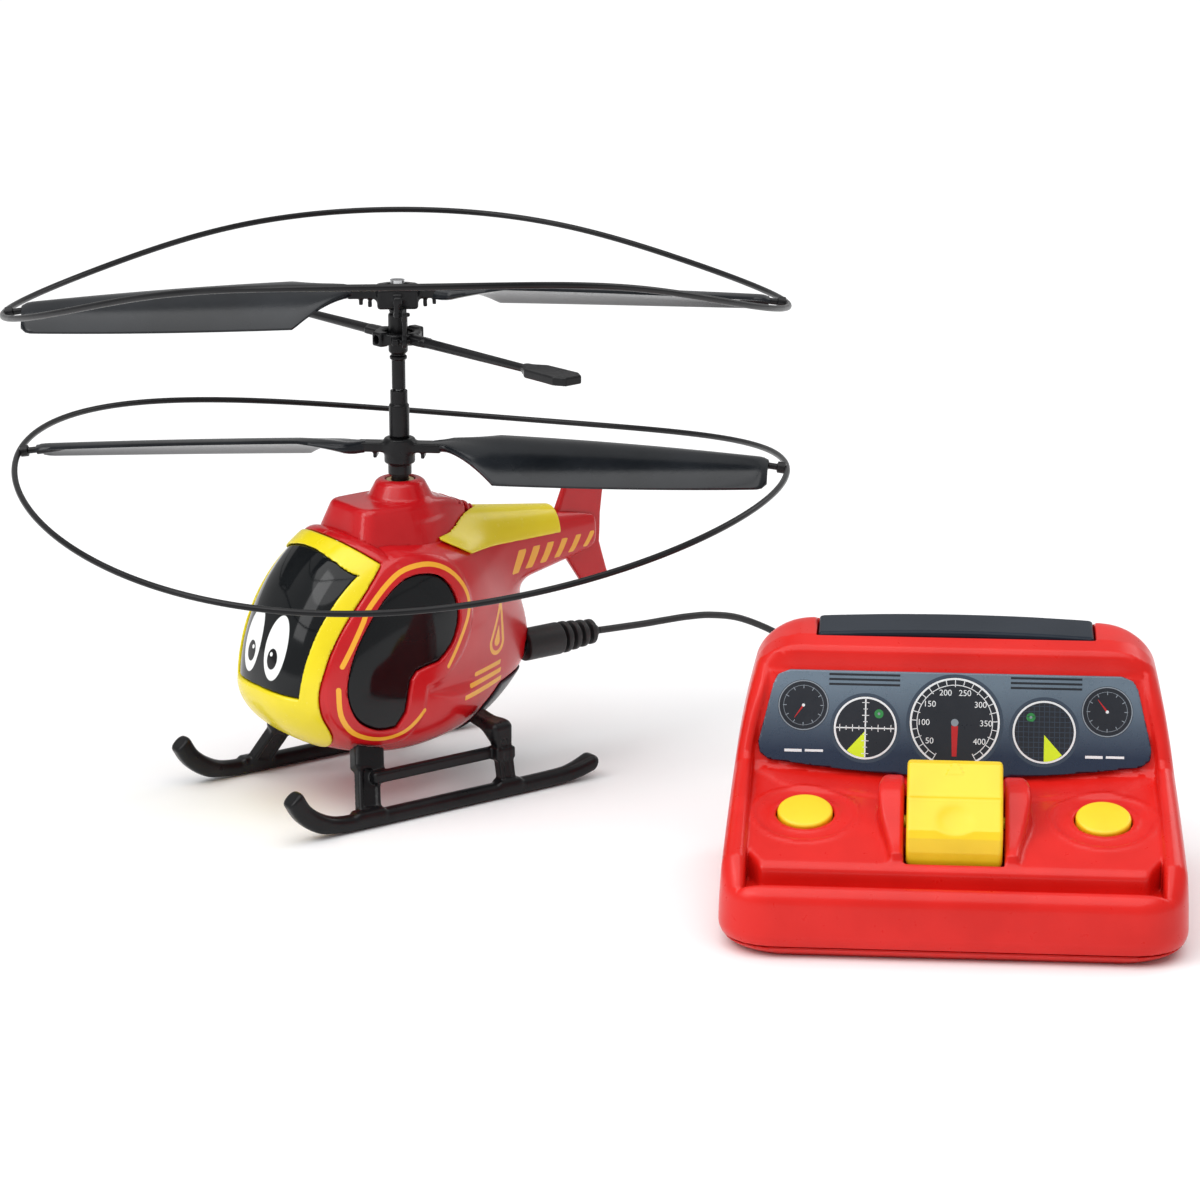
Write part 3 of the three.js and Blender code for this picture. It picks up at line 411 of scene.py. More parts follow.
BODY_RED = (0.55, 0.005, 0.009)
BODY_GLOSS = {"roughness": 0.22, "coat": 0.12, "grain": 0.03, "wear": 0.06, "specular": 0.4}
RED = node_material("red_body", BODY_RED, **BODY_GLOSS)
RED_PRINTED = node_material("red_body_printed", BODY_RED, paints=[("print", PRINT_GOLD)], **BODY_GLOSS)
YELLOW = node_material("yellow_body", (0.86, 0.70, 0.006), 0.24, coat=0.1, grain=0.03, wear=0.03)
CASE_RED = node_material("case_red", (0.66, 0.010, 0.006), 0.3, coat=0.05, grain=0.05, grain_scale=1400,
                         wear=0.03, specular=0.3)
CONTROL_YELLOW = node_material("control_yellow", (0.86, 0.60, 0.009), 0.33, grain=0.08, wear=0.03)
WINDOW_TINT = (0.004, 0.005, 0.006)
WINDOW_GLOSS = {"roughness": 0.08, "grain": 0.01, "wear": 0.02, "specular": 0.28}
SMOKE = node_material("smoked_window", WINDOW_TINT, **WINDOW_GLOSS)
EYES = node_material("windshield_printed", WINDOW_TINT, **WINDOW_GLOSS,
                     paints=[("white", EYE_WHITE), ("pupil", PUPIL), ("glint", EYE_WHITE)])
BLACK = node_material("black_plastic", (0.005, 0.005, 0.006), 0.3, grain=0.12, variation=0.2, specular=0.24)
BLADE = node_material("blade_plastic", (0.008, 0.010, 0.013), 0.2, grain=0.04, variation=0.2, specular=0.32)
NAVY = node_material("navy_tray", (0.014, 0.018, 0.028), 0.3, grain=0.1, variation=0.15)
WINDOW_NAVY = node_material("infrared_window", (0.006, 0.012, 0.022), 0.2, grain=0.02, specular=0.16)
RUBBER = node_material("black_rubber", (0.012, 0.012, 0.013), 0.5, grain=0.25, variation=0.25)
STEEL = node_material("bright_steel", (0.55, 0.56, 0.58), 0.22, metallic=1.0, grain=0.05, wear=0.3)
BRASS = node_material("turned_brass", (0.62, 0.42, 0.13), 0.28, metallic=1.0, grain=0.05, wear=0.3)
GEAR_WHITE = node_material("gear_nylon", (0.80, 0.79, 0.74), 0.42, grain=0.1)
FOIL = node_material("battery_wrap", (0.42, 0.44, 0.47), 0.35, metallic=0.7, grain=0.2, grain_scale=350)
BOARD = node_material("circuit_board", (0.012, 0.12, 0.04), 0.4, grain=0.2, variation=0.25, blotch_scale=240)


# ---------------------------------------------------------------- the pod's form

POD_MIDDLE = (9.5, 33.0)
POD_REACH = {"front": 37.2, "rear": 51.5, "up": 46.0, "down": 20.3, "half": 26.4}
NOSE_SQUARE, TAIL_SQUARE, OUTLINE_SQUARE = 2.65, 1.2, 1.87
WALL = 1.6


def pod_level(x, y, z):
    """The egg-shaped pod's level function, 0 on its skin."""
    u, w = x - POD_MIDDLE[0], z - POD_MIDDLE[1]
    u = u / np.where(u > 0, POD_REACH["front"], POD_REACH["rear"])
    w = w / np.where(w > 0, POD_REACH["up"], POD_REACH["down"])
    v = np.abs(y) / POD_REACH["half"]
    back = np.clip(-u / (np.hypot(u, w) + 1e-9), 0, 1) ** 1.4
    square = NOSE_SQUARE + (TAIL_SQUARE - NOSE_SQUARE) * back
    ring = (np.abs(u) ** OUTLINE_SQUARE + np.abs(w) ** OUTLINE_SQUARE) ** (1 / OUTLINE_SQUARE)
    return (ring ** square + v ** square) ** (1 / square) - 1


def pod(x, y, z, reach=0.05):
    value = pod_level(x, y, z)
    steps = [(reach, 0, 0), (0, reach, 0), (0, 0, reach)]
    grade = sum(((pod_level(x + a, y + b, z + c) - value) / reach) ** 2 for a, b, c in steps)
    return value / np.maximum(np.sqrt(grade), 0.012)


# ---------------------------------------------------------------- charging lead

LEAD_R = 1.0
# the lead's route from the plug to the controller, in millimetres from the mast's foot
LEAD_ROUTE = [
    (50.9, 43.1, 31.3), (57, 48.2, 30.9), (63.4, 53.6, 30.5), (69, 58.4, 30.3), (74.8, 63.3, 30),
    (81.7, 69.1, 29), (90.1, 76.2, 26), (100.8, 84.5, 19), (110, 88.6, 11), (120, 87.8, 4.5),
    (130, 82, 1.7), (138.5, 72, 1.1), (144, 58, 1.1), (146.5, 42, 1.1), (146.5, 26, 1.1),
    (144.5, 10, 1.2), (140.6, -4, 3.2), (136.8, -14, 8), (135.2, -22, 11.4), (135, -29.8, 12),
]


def lead():
    points = [MAST @ (Vector(p) * MM) for p in spline(LEAD_ROUTE, 8, closed=False)]
    cord = bpy.data.curves.new("charge_lead", "CURVE")
    cord.dimensions = "3D"
    cord.bevel_depth = LEAD_R * MM
    cord.bevel_resolution = 5
    cord.use_fill_caps = True
    line = cord.splines.new("POLY")
    line.points.add(len(points) - 1)
    for spot, p in zip(line.points, points):
        spot.co = (*p, 1)
    line.use_smooth = True
    made = placed("charge_lead", cord)
    length = sum((b - a).length for a, b in zip(points, points[1:]))
    return made, points, length


charge_lead, lead_points, lead_length = lead()
tidy_piece(charge_lead, "controller", RUBBER, "cord_rubber", "charge_cord")

PLUG_Z = 31.5
BOOT_START = -42.3  # where the boot meets the body's rear, along the helicopter


def plug_boot(x, y, z):
    """The ribbed strain relief behind the charging plug, along -X."""
    along, off = BOOT_START - x, np.hypot(y, z - PLUG_Z)
    grip = smooth_max(off - 4.6, np.abs(along - 3.9) - 6.1, 0.5)
    neck = rod(x, y, z, (BOOT_START - 9, 0, PLUG_Z), (BOOT_START - 22.6, 0, PLUG_Z), 3.0, 1.75)
    body = smooth_min(grip, neck, 0.6)
    for rib in range(4):
        start, r = 11.9 + rib * 3.0, 4.5 - 0.3 * rib
        ring = smooth_max(off - r, np.abs(along - start) - 0.8, 0.5)
        body = smooth_min(body, ring, 0.4)
    body = smooth_max(body, along - 23.5, 0.3)
    return smooth_max(body, -(pod(x, y, z) - 0.15), 0.2)


boot = moulded("plug_boot", plug_boot, (-67, -5.2, 26), (-39.5, 5.2, 37), 0.3, HELI)
tidy_piece(boot, "controller", RUBBER, "cord_rubber", "charge_plug")

GROMMET_X, GROMMET_Z = -15.5, 12.0


def grommet_form(x, y, z):
    """The tapered strain relief where the lead enters the controller's back."""
    along, off = y - 90.3, np.hypot(x - GROMMET_X, z - GROMMET_Z)
    flange = smooth_max(off - 3.4, np.abs(along - 0.8) - 0.8, 0.4)
    sleeve = smooth_max(off - (2.35 - 0.05 * along), np.abs(along - 6) - 6, 0.3)
    body = smooth_min(flange, sleeve, 0.8)
    for ring in range(4):
        groove = smooth_max(np.abs(along - 3.4 - 2.2 * ring) - 0.35, 1.75 - off, 0.2)
        body = smooth_max(body, -groove, 0.2)
    return body


grommet = moulded("lead_grommet", grommet_form, (-19, 90, 8), (-12, 103, 16), 0.25, CONTROL)
tidy_piece(grommet, "controller", RUBBER, "cord_rubber", "cord_grommet")
tuple(lead_points[-1])


# ---------------------------------------------------------------- fuselage

BOOM_START, BOOM_END = -18.0, -64.0
BOOM_LOW, BOOM_HIGH, BOOM_HALF = (47.0, 56.5), (74.0, 67.5), (9.5, 3.0)


def boom(x, y, z):
    share = np.clip((x - BOOM_START) / (BOOM_END - BOOM_START), -0.35, 1.05)
    at = lambda pair: pair[0] + (pair[1] - pair[0]) * share
    half_high, half_wide = (at(BOOM_HIGH) - at(BOOM_LOW)) / 2, at(BOOM_HALF)
    u, v = y / half_wide, (z - (at(BOOM_HIGH) + at(BOOM_LOW)) / 2) / half_high
    ring = (np.abs(u) ** 2.3 + np.abs(v) ** 2.3) ** (1 / 2.3)
    side = (ring - 1) * np.minimum(half_high, half_wide)
    return smooth_max(side, np.maximum(BOOM_END - x, x - 2), 1.5)


NOSE_SIDE = outline([(60, 90), (27, 82), (25.2, 74), (18.6, 68.6)]
                    + curve([(18.6, 68.6), (31.9, 53.5), (38.2, 40.3), (38.8, 31), (33.5, 21.6), (27, 8)],
                            6)[1:] + [(60, 8)])
WINDOW = outline(
    curve([(4.9, 41.2), (-0.6, 45.6), (-3.4, 52.4), (-1.6, 59.6), (3.4, 63.9), (12.2, 64.5), (20.2, 59.6),
           (27.4, 50.8), (31.4, 42.2), (32.2, 34.4), (29.4, 28.2), (23.6, 24.7), (18.4, 24.6)], 5)
    + [(16, 28.6), (14.9, 34.6), (14.2, 37.6), (12.4, 39.7), (9.4, 40.5)])
WINDSHIELD = outline(
    curve([(15.4, 34.5), (16.4, 50), (17.2, 60), (17.6, 66.2)])
    + curve([(12, 69.0), (6, 70.6), (0, 71), (-6, 70.6), (-12, 69.0)], 3)
    + curve([(-17.6, 66.2), (-17.2, 60), (-16.4, 50), (-15.4, 34.5)])
    + [(-8, 34.9), (0, 35.1), (8, 34.9)])
TRAY_SIDE = outline([(-9, 5), (-9, 16), (-15, 22.5), (-24, 26.4), (-50, 26), (-50, 5)])

COWL_PLAN = outline(spline(
    [(25, 0), (25, 10), (22.6, 15.2), (16, 16.5), (2, 16.5), (-10, 12.4), (-21, 6.6), (-29, 1.6), (-30, 0),
     (-29, -1.6), (-21, -6.6), (-10, -12.4), (2, -16.5), (16, -16.5), (22.6, -15.2), (25, -10)], 5))
COWL_LOW, COWL_TOP = 58.0, 81.0
COLLAR_TOP, COLLAR_R, COLLAR_FOOT = 86.0, 6.3, 9.2
SHOULDER_Z = 70.0  # the pod is flat below the cowl


def shouldered(x, y, z):
    limit = SHOULDER_Z + 0.15 * np.minimum(x, 12) + 0.7 * np.maximum(x - 16, 0)
    return smooth_max(pod(x, y, z), z - limit, 4.0)


def cowl_solid(x, y, z):
    share = (z - COWL_LOW) / (COWL_TOP - COWL_LOW)
    wall = 0.8 * COWL_PLAN(x / (1 - 0.3 * share), y / (1.12 - 0.52 * share))
    rear_slope = ((-(x + 9)) * 12 + (z - COWL_TOP) * 31) / math.hypot(12, 31)
    lid = smooth_max(z - COWL_TOP, rear_slope, 2.5)
    body = smooth_max(wall, lid, 1.7)
    off = np.hypot(x, y)
    cone = (off - (COLLAR_R + (COLLAR_TOP - z) * (COLLAR_FOOT - COLLAR_R) / 5.5)) * 0.8
    cone = smooth_max(cone, np.maximum(z - COLLAR_TOP, 76 - z), 1.4)
    return smooth_min(body, cone, 0.9)


def rotor_cowl(x, y, z):
    vents = np.maximum(np.abs((x + 18) % 2.6 - 1.3) - 0.55, np.abs(x + 18) - 5.0)
    vents = np.maximum(vents, np.abs(y) - 3.4)
    body = cowl_solid(x, y, z)
    body = smooth_max(body, -np.maximum(vents, -0.7 - body), 0.35)
    body = smooth_max(body, -(shouldered(x, y, z) + 0.4), 0.5)
    body = smooth_max(body, -(boom(x, y, z) - 0.2), 0.5)
    bore = np.hypot(x, y) - 4.1
    hollow = smooth_max(cowl_solid(x, y, z) + 2.0, z - 79, 1)
    return smooth_max(body, -np.minimum(bore, hollow), 0.5)


def plinth(x, z):
    """The raised door round the side window, by how far a point is from the window's edge."""
    return 0.45 * fading((WINDOW(x, z) - 5.6) * 4.5)


def body_skin(x, y, z):
    skin = smooth_min(shouldered(x, y, z), boom(x, y, z), 5.0)
    return skin - plinth(x, z)


def body_half(x, y, z):
    """The left shell of the pod and boom, with its openings."""
    skin = body_skin(x, y, z)
    shell = np.maximum(skin, -(skin + WALL + plinth(x, z)))
    for cut in (NOSE_SIDE(x, z) - 0.25, TRAY_SIDE(x, z) - 0.25, WINDOW(x, z) - 0.25, y - 0.15,
                rod(x, y, z, (-60, 0, PLUG_Z), (-30, 0, PLUG_Z), 2.6),
                np.maximum(np.hypot(x, y) - 6, 60 - z), fin_solid(x, y, z) - 0.3,
                np.maximum(cowl_solid(x, y, z) + 1.2, 60 - z)):
        shell = smooth_max(shell, -cut, 0.55)
    return shell


FIN_PLAN = outline([(-50, 62), (-51, 68), (-57.5, 84), (-69, 84), (-66.3, 66), (-66, 58), (-69.5, 47),
                    (-60, 47), (-54, 56)], 0.8)


def fin_solid(x, y, z):
    thick = 1.1 + 0.35 * np.exp(-((z - 62) / 7.0) ** 2)
    return smooth_max(FIN_PLAN(x, z), np.abs(y) - thick, 0.9)


def stripe_line(x, z):
    """How far a point of the side view is from the gold pinstripe round the window."""
    arcs = [
        curve([(30.1, 49.5), (33.6, 43.6)], 3),
        curve([(26.7, 55.2), (24.8, 58.3), (18.8, 63.8), (12.8, 66.9), (4.9, 67.1), (-2.1, 64),
               (-6.9, 58.2), (-7.3, 52.6), (-3.7, 46.6), (1.9, 39.1)]),
        curve([(34.9, 37.5), (34.4, 30.3), (30.1, 24.4), (22.6, 21.6), (15.8, 23.0), (10.2, 28.3)]),
        [(26.7, 55.2), (30.1, 49.5)],
    ]
    return np.minimum.reduce([path_distance(arc, False)(x, z) for arc in arcs]) - 0.62


def boom_bars(x, z):
    """Slanted bars along the boom's side."""
    bars = []
    for i in range(6):
        foot, wide, lean = -31.5 - 5.4 * i, 2.9 - 0.2 * i, 2.6
        low, high = 55.0 + 0.55 * i, 61.6 + 0.1 * i
        head = foot - lean
        bar_side = outline([(foot, low), (foot - wide, low), (head - wide, high), (head, high)])
        bars.append(bar_side(x, z))
    return np.minimum.reduce(bars)


def drop_badge(x, z):
    """A plain drop inside a drop, and three level bars under it."""
    drop = rod(x, 0 * x, z, (-22.4, 0, 39.0), (-25.0, 0, 51.0), 4.0, 0.3)
    marks = [np.abs(drop + 0.7) - 0.6, drop + 2.6]
    for i, low in enumerate((27.4, 29.7, 32.0)):
        front, top = -5 - 3 * i, low + 1.2
        marks.append(outline([(-24, low), (front, low), (front - 0.5, top), (-24.5, top)])(x, z))
    return np.minimum.reduce(marks)


def body_print(x, y, z):
    return np.minimum.reduce([stripe_line(x, z), boom_bars(x, z), drop_badge(x, z)])


def side_window(x, y, z):
    skin = pod(x, y, z)
    pane = np.maximum(skin + 0.35, -(skin + 1.5))
    return smooth_max(smooth_max(pane, WINDOW(x, z) + 0.1, 0.5), -y, 0.1)


def windshield_pane(x, y, z):
    skin = pod(x, y, z)
    pane = np.maximum(skin + 0.3, -(skin + 1.5))
    return smooth_max(smooth_max(pane, WINDSHIELD(y, z) + 0.15, 0.4), 10 - x, 0.1)


def nose_frame(x, y, z):
    skin = pod(x, y, z) - 0.45
    shell = np.maximum(skin, -(skin + 2.0))
    shell = smooth_max(shell, NOSE_SIDE(x, z), 0.8)
    return smooth_max(shell, -np.maximum(WINDSHIELD(y, z), 5 - x), 0.9)


def belly_tray(x, y, z):
    skin = pod(x, y, z) - 0.6
    shell = smooth_max(np.maximum(skin, -(skin + 2.2)), TRAY_SIDE(x, z), 0.6)
    return smooth_max(shell, -block(x + 16, y, z - 16, (4, 1.7, 4), 0.3), 0.3)


COVER_SIDE = outline([(-3.2, 71), (-13.3, 65.6), (-30, 64.6), (-49.5, 64), (-49.5, 90), (-3.2, 90)])


def boom_cover(x, y, z):
    tail, bulge = boom(x, y, z), shouldered(x, y, z)
    under = smooth_min(tail, bulge, 5.0)
    body = smooth_max(under - 1.0, COVER_SIDE(x, z), 0.7)
    return smooth_max(body, -np.minimum(under + 0.1, cowl_solid(x, y, z) - 0.2), 0.4)


def ellipse(u, v, middle_u, middle_v, half_u, half_v):
    return (np.hypot((u - middle_u) / half_u, (v - middle_v) / half_v) - 1) * min(half_u, half_v)


# plain ovals placed evenly about the middle of the windshield: across, up, half width, half height
EYE_OVAL = (5.6, 46.5, 4.3, 8.6)
PUPIL_OVAL = (5.2, 43.6, 2.1, 2.8)
GLINT_OVAL = (4.6, 44.8, 0.6, 0.6)


def eye_white(x, y, z):
    return ellipse(np.abs(y), z, *EYE_OVAL)


def eye_pupil(x, y, z):
    return ellipse(np.abs(y), z, *PUPIL_OVAL)


def eye_glint(x, y, z):
    return ellipse(np.abs(y), z, *GLINT_OVAL)


for flip, side in ((False, "left"), (True, "right")):
    shell = moulded(f"{side}_shell", body_half, (-66, 0, 12), (40, 27.2, 80), 0.5, HELI, flip=flip,
                    paint={"print": body_print})
    tidy_piece(shell, "airframe", RED_PRINTED, "red_body_plastic", f"{side}_body_shell")
    pane = moulded(f"{side}_door_glass", side_window, (-6, 4, 22), (34, 28, 67), 0.45, HELI, flip=flip)
    tidy_piece(pane, "airframe", SMOKE, "window_tint", f"{side}_side_window")

EYE_PAINT = {"white": eye_white, "pupil": eye_pupil, "glint": eye_glint}
for name, field, low, high, step, material, slot, node, paint in (
    ("nose_shell", nose_frame, (15, -25, 11), (48.5, 25, 77), 0.5, YELLOW, "yellow_body_plastic",
     "nose_frame", None),
    ("windshield_glass", windshield_pane, (22, -19, 33), (48, 19, 73), 0.45, EYES, "window_tint",
     "windshield", EYE_PAINT),
    ("tray", belly_tray, (-43, -25, 12), (-7, 25, 28), 0.5, NAVY, "belly_plastic", "belly_tray", None),
    ("cowl", rotor_cowl, (-31, -19, 56), (26, 19, 87), 0.5, RED, "red_body_plastic", "rotor_cowl", None),
    ("boom_cover", boom_cover, (-51, -17, 62), (1, 17, 80), 0.45, YELLOW, "yellow_body_plastic",
     "boom_top_cover", None),
    ("fin", fin_solid, (-70.5, -2, 46), (-49, 2, 85), 0.35, RED, "red_body_plastic", "tail_fin", None),
):
    piece = moulded(name, field, low, high, step, HELI, paint=paint)
    tidy_piece(piece, "airframe", material, slot, node)


# ---------------------------------------------------------------- landing skids

SKID_Y, SKID_R = 29.4, 2.25
RUNNER_LINE = path_distance(
    curve([(-42, 4.6), (-36, 2.9), (-28, 2.3), (0, 2.3), (30, 2.3), (40, 2.7), (46.4, 4.6), (51, 8.0),
           (53.6, 12)]), False)


def skid(x, y, z):
    """The left skid: a runner with a turned-up toe and a flared heel, two struts and a rail."""
    v = y - SKID_Y
    line = RUNNER_LINE(x, z)
    flare = 0.9 * np.clip((-34 - x) / 8, 0, 1)
    toe = 0.45 * ease(x, 40, 47)
    side = np.abs(v) - (SKID_R - 0.1 + flare + toe)
    tall = line - (SKID_R + toe)
    runner = smooth_max(side, tall, 2.2)
    runner = smooth_max(runner, np.maximum(-43.3 - 0.45 * (z - 4) - x, x * 0.66 + z * 0.75 - 45.6), 0.8)

    def plate(start, end, half_wide, half_thick, groove):
        a, b = np.array(start), np.array(end)
        axis = (b - a) / np.linalg.norm(b - a)
        across = np.array([1.0, 0, 0]) - axis[0] * axis
        across /= np.linalg.norm(across)
        third = np.cross(axis, across)
        p = [x - (a[0] + b[0]) / 2, y - (a[1] + b[1]) / 2, z - (a[2] + b[2]) / 2]
        u, w, s = (sum(c * d for c, d in zip(p, e)) for e in (across, third, axis))
        reach = np.linalg.norm(b - a) / 2
        web = block(u, w, s, (half_wide, half_thick, reach), 0.6)
        dent = block(u, np.abs(w) - half_thick, s, (half_wide - 1.3, groove, reach - 3), 0.4)
        return smooth_max(web, -dent, 0.4)

    front = plate((30.4, 29.2, 2.2), (24.5, 19.4, 18.6), 3.3, 1.6, 0.55)
    bracket = plate((26.2, 22.4, 13.4), (23.8, 18.4, 19.6), 4.3, 2.0, 0.0)
    front = smooth_min(front, bracket, 1.6)
    rear_low = plate((-14.6, 29.2, 2.2), (-13.6, 27.2, 19.6), 2.4, 1.6, 0.45)
    rear_high = plate((-13.6, 27.4, 18.6), (-11.0, 15.6, 21.8), 2.5, 1.6, 0.0)
    rail = block(x - 6.6, y - 26.0, z - 12.2, (20.4, 1.4, 1.6), 0.9)
    band = block(x + 14.1, y - 27.6, z - 12.2, (3.1, 2.1, 1.7), 0.6)
    feet = np.minimum(block(x - 30.4, y - 29.2, z - 3.7, (4.3, 2.0, 1.2), 0.6),
                      block(x + 14.6, y - 29.2, z - 3.7, (3.4, 2.0, 1.2), 0.6))
    gear = smooth_min(smooth_min(front, smooth_min(rear_low, rear_high, 4.5), 1), rail, 1.2)
    gear = smooth_min(smooth_min(gear, band, 0.6), feet, 0.8)
    gear = smooth_min(gear, runner, 1.4)
    return smooth_max(gear, -(pod(x, y, z) - 0.9), 0.2)


for flip, side in ((False, "left"), (True, "right")):
    piece = moulded(f"{side}_skid", skid, (-45, 14, -0.5), (58, 33, 28), 0.42, HELI, flip=flip)
    tidy_piece(piece, "airframe", BLACK, "black_plastic", f"{side}_landing_skid")


# ---------------------------------------------------------------- rotors

ROTOR_R = 105.0
# height, azimuth and hoop values are fitted to points seen in the photograph
UPPER = {
    "z": 137.26, "azimuth": 8.14, "spin": -1, "full_chord": 28.0, "side": 1.0218, "tip_drop": 4.46,
    "bow": 17.29, "tilt": -0.0938, "twist": 1.73, "pinch": -0.0766, "shear": 0.0, "sway": 0.0,
}
LOWER = {
    "z": 94.86, "azimuth": -0.76, "spin": 1, "full_chord": 27.0, "side": 0.952, "tip_drop": 3.98,
    "bow": -12.25, "tilt": 0.0219, "twist": 0.0, "pinch": 0.0, "shear": -0.0618, "sway": -3.02,
}
HOOP_WIRE_R = 0.85
BLADE_ROOT, BLADE_TIP, BLADE_CHORD, BLADE_TIP_CHORD = 9.3, 100.0, 24.0, 14.5
BLADE_PITCH = math.radians(20)
FEATHER_Z, FLYBAR_Z, FLYBAR_AZIMUTH = 135.0, 125.2, -44.6
LINK_REACH = 8.0


def lofted(rings, closed_along=False):
    """Points and faces of a skin through rings of equal numbers of points, capped if open."""
    count, sides = len(rings), len(rings[0])
    points = [p for ring in rings for p in ring]
    faces = []
    for i in range(count if closed_along else count - 1):
        j = (i + 1) % count
        for k in range(sides):
            m = (k + 1) % sides
            faces.append((i * sides + k, i * sides + m, j * sides + m, j * sides + k))
    if not closed_along:
        for ring, order in ((0, -1), (count - 1, 1)):
            start = ring * sides
            half = sides // 2
            across = [start + k for k in range(sides)]
            for k in range(half - 1):
                quad = (across[k], across[k + 1], across[sides - 2 - k], across[sides - 1 - k])
                faces.append(quad[::order])
    return points, faces


def hoop_point(rotor, t):
    corner = math.sin(2 * t) ** 2
    spread = 1 + rotor["pinch"] * corner
    lift = (rotor["bow"] * math.sin(t) ** 2 + rotor["tilt"] * rotor["side"] * ROTOR_R * math.sin(t)
            + rotor["twist"] * corner + rotor["sway"] * math.sin(2 * t))
    across = ROTOR_R * (spread * math.cos(t) + rotor["shear"] * math.sin(t))
    return Vector((across, rotor["side"] * ROTOR_R * spread * math.sin(t),
                   rotor["z"] - rotor["tip_drop"] + lift))


def hoop_mesh(rotor, steps=288, sides=12):
    rings = []
    for i in range(steps):
        t = 2 * math.pi * i / steps
        here = hoop_point(rotor, t)
        along = (hoop_point(rotor, t + 0.01) - hoop_point(rotor, t - 0.01)).normalized()
        out = Vector((math.cos(t), math.sin(t), 0))
        out = (out - out.dot(along) * along).normalized()
        up = along.cross(out)
        rings.append([tuple(here + HOOP_WIRE_R * (out * math.cos(a) - up * math.sin(a)))
                      for a in (2 * math.pi * k / sides for k in range(sides))])
    return lofted(rings, closed_along=True)


def blade_mesh(rotor, steps=72, across_steps=18):
    """A cambered blade: a rounded lead edge, a thin tail edge and a root that narrows to the hub."""
    rings = []
    for i in range(steps + 1):
        share = i / steps
        r = BLADE_ROOT + (BLADE_TIP - BLADE_ROOT) * share
        spread = min(max((r - BLADE_ROOT - 3) / (rotor["full_chord"] - BLADE_ROOT - 3), 0), 1)
        taper = ((r - BLADE_ROOT) / (BLADE_TIP - BLADE_ROOT)) ** 2.2
        chord = BLADE_CHORD + (BLADE_TIP_CHORD - BLADE_CHORD) * taper
        end = math.sqrt(max(0.02, 1 - max(0, (r - BLADE_TIP + 3) / 3.02) ** 2))
        chord *= 0.75 + 0.25 * end
        lead = 2.5 + (0.28 * chord - 2.5) * min(max((r - BLADE_ROOT) / 5, 0), 1)
        trail = 2.5 + (0.72 * chord - 2.5) * spread
        chord = lead + trail
        drop = rotor["tip_drop"] * (r / ROTOR_R) ** 1.5
        ring = []
        for k in range(2 * across_steps):
            top = k < across_steps
            c = -math.cos(math.pi * ((k if top else 2 * across_steps - 1 - k) + 0.5) / across_steps) / 2
            edge = math.sqrt(max(0.0, 1 - (2 * c) ** 2))
            thick = 0.28 + 0.42 * edge + 0.35 * max(0, 1 - abs(c - 0.34) * 5)
            if spread < 1:
                thick += 0.7 * (1 - spread) * min(1, edge * 1.4)
            thick *= 0.35 + 0.65 * end
            across = lead - (0.5 - c) * chord
            bulge = 1.6 * spread * (1 - 4 * c * c) + (thick if top else -thick)
            ring.append((r, rotor["spin"] * (across * math.cos(BLADE_PITCH) - bulge * math.sin(BLADE_PITCH)),
                         rotor["z"] - drop + across * math.sin(BLADE_PITCH) * spread
                         + bulge * math.cos(BLADE_PITCH)))
        rings.append(ring if rotor["spin"] > 0 else ring[::-1])
    return lofted(rings)


def peg_mesh(rotor, sides=12):
    """The peg that carries the hoop at a blade's tip, with its socket and collar."""
    end = hoop_point(rotor, 0)
    start = Vector((92.0, 0, end.z + 1.7))
    axis = (end - start).normalized()
    out = Vector((0, 1, 0))
    up = axis.cross(out)
    reach = (end - start).length - 0.2
    profile = [(0, 0.35), (0.03, 0.9), (0.3, 1.25), (0.55, 1.35), (0.62, 1.35), (0.64, 0.9), (0.8, 0.9),
               (0.82, 1.6), (0.97, 1.6), (1.0, 1.0)]
    rings = []
    for share, r in profile:
        here = start + axis * reach * share
        rings.append([tuple(here + r * (out * math.cos(a) + up * math.sin(a)))
                      for a in (2 * math.pi * k / sides for k in range(sides))])
    return lofted(rings)


def add_blades(rotor, name, body):
    for turn, side in ((0, "right"), (180, "left")):
        place = turned_rotor(rotor["azimuth"] + turn)
        blade = mesh_object(f"{name}_wing_{side}", *blade_mesh(rotor), place, sharp=50)
        peg = mesh_object(f"{name}_peg_{side}", *peg_mesh(rotor), place, sharp=50)
        tidy_piece(blade, body, BLADE, "blade_plastic", f"{name}_blade_{side}")
        tidy_piece(peg, body, BLACK, "black_plastic")
    hoop = mesh_object(f"{name}_ring", *hoop_mesh(rotor), turned_rotor(rotor["azimuth"]), sharp=80)
    tidy_piece(hoop, body, BLACK, "black_plastic", f"{name}_hoop")


add_blades(LOWER, "lower", "lower_rotor")
add_blades(UPPER, "upper", "upper_rotor")


def lower_hub(x, y, z):
    collar = drum(x, y, z, 4.2, 90.2, 97.2, 0.6)
    foot = drum(x, y, z, 3.2, 87, 91.5, 0.4)
    arms = block(x, y, z - 94.7, (11.5, 2.5, 1.3), 0.6)
    ribs = block(np.abs(x) - 6.5, y, z - 93.4, (0.5, 2.2, 1.6), 0.3)
    hub = smooth_min(smooth_min(collar, foot, 0.8), smooth_min(arms, ribs, 0.6), 1.4)
    return smooth_max(hub, -(np.hypot(x, y) - 2.65), 0.3)


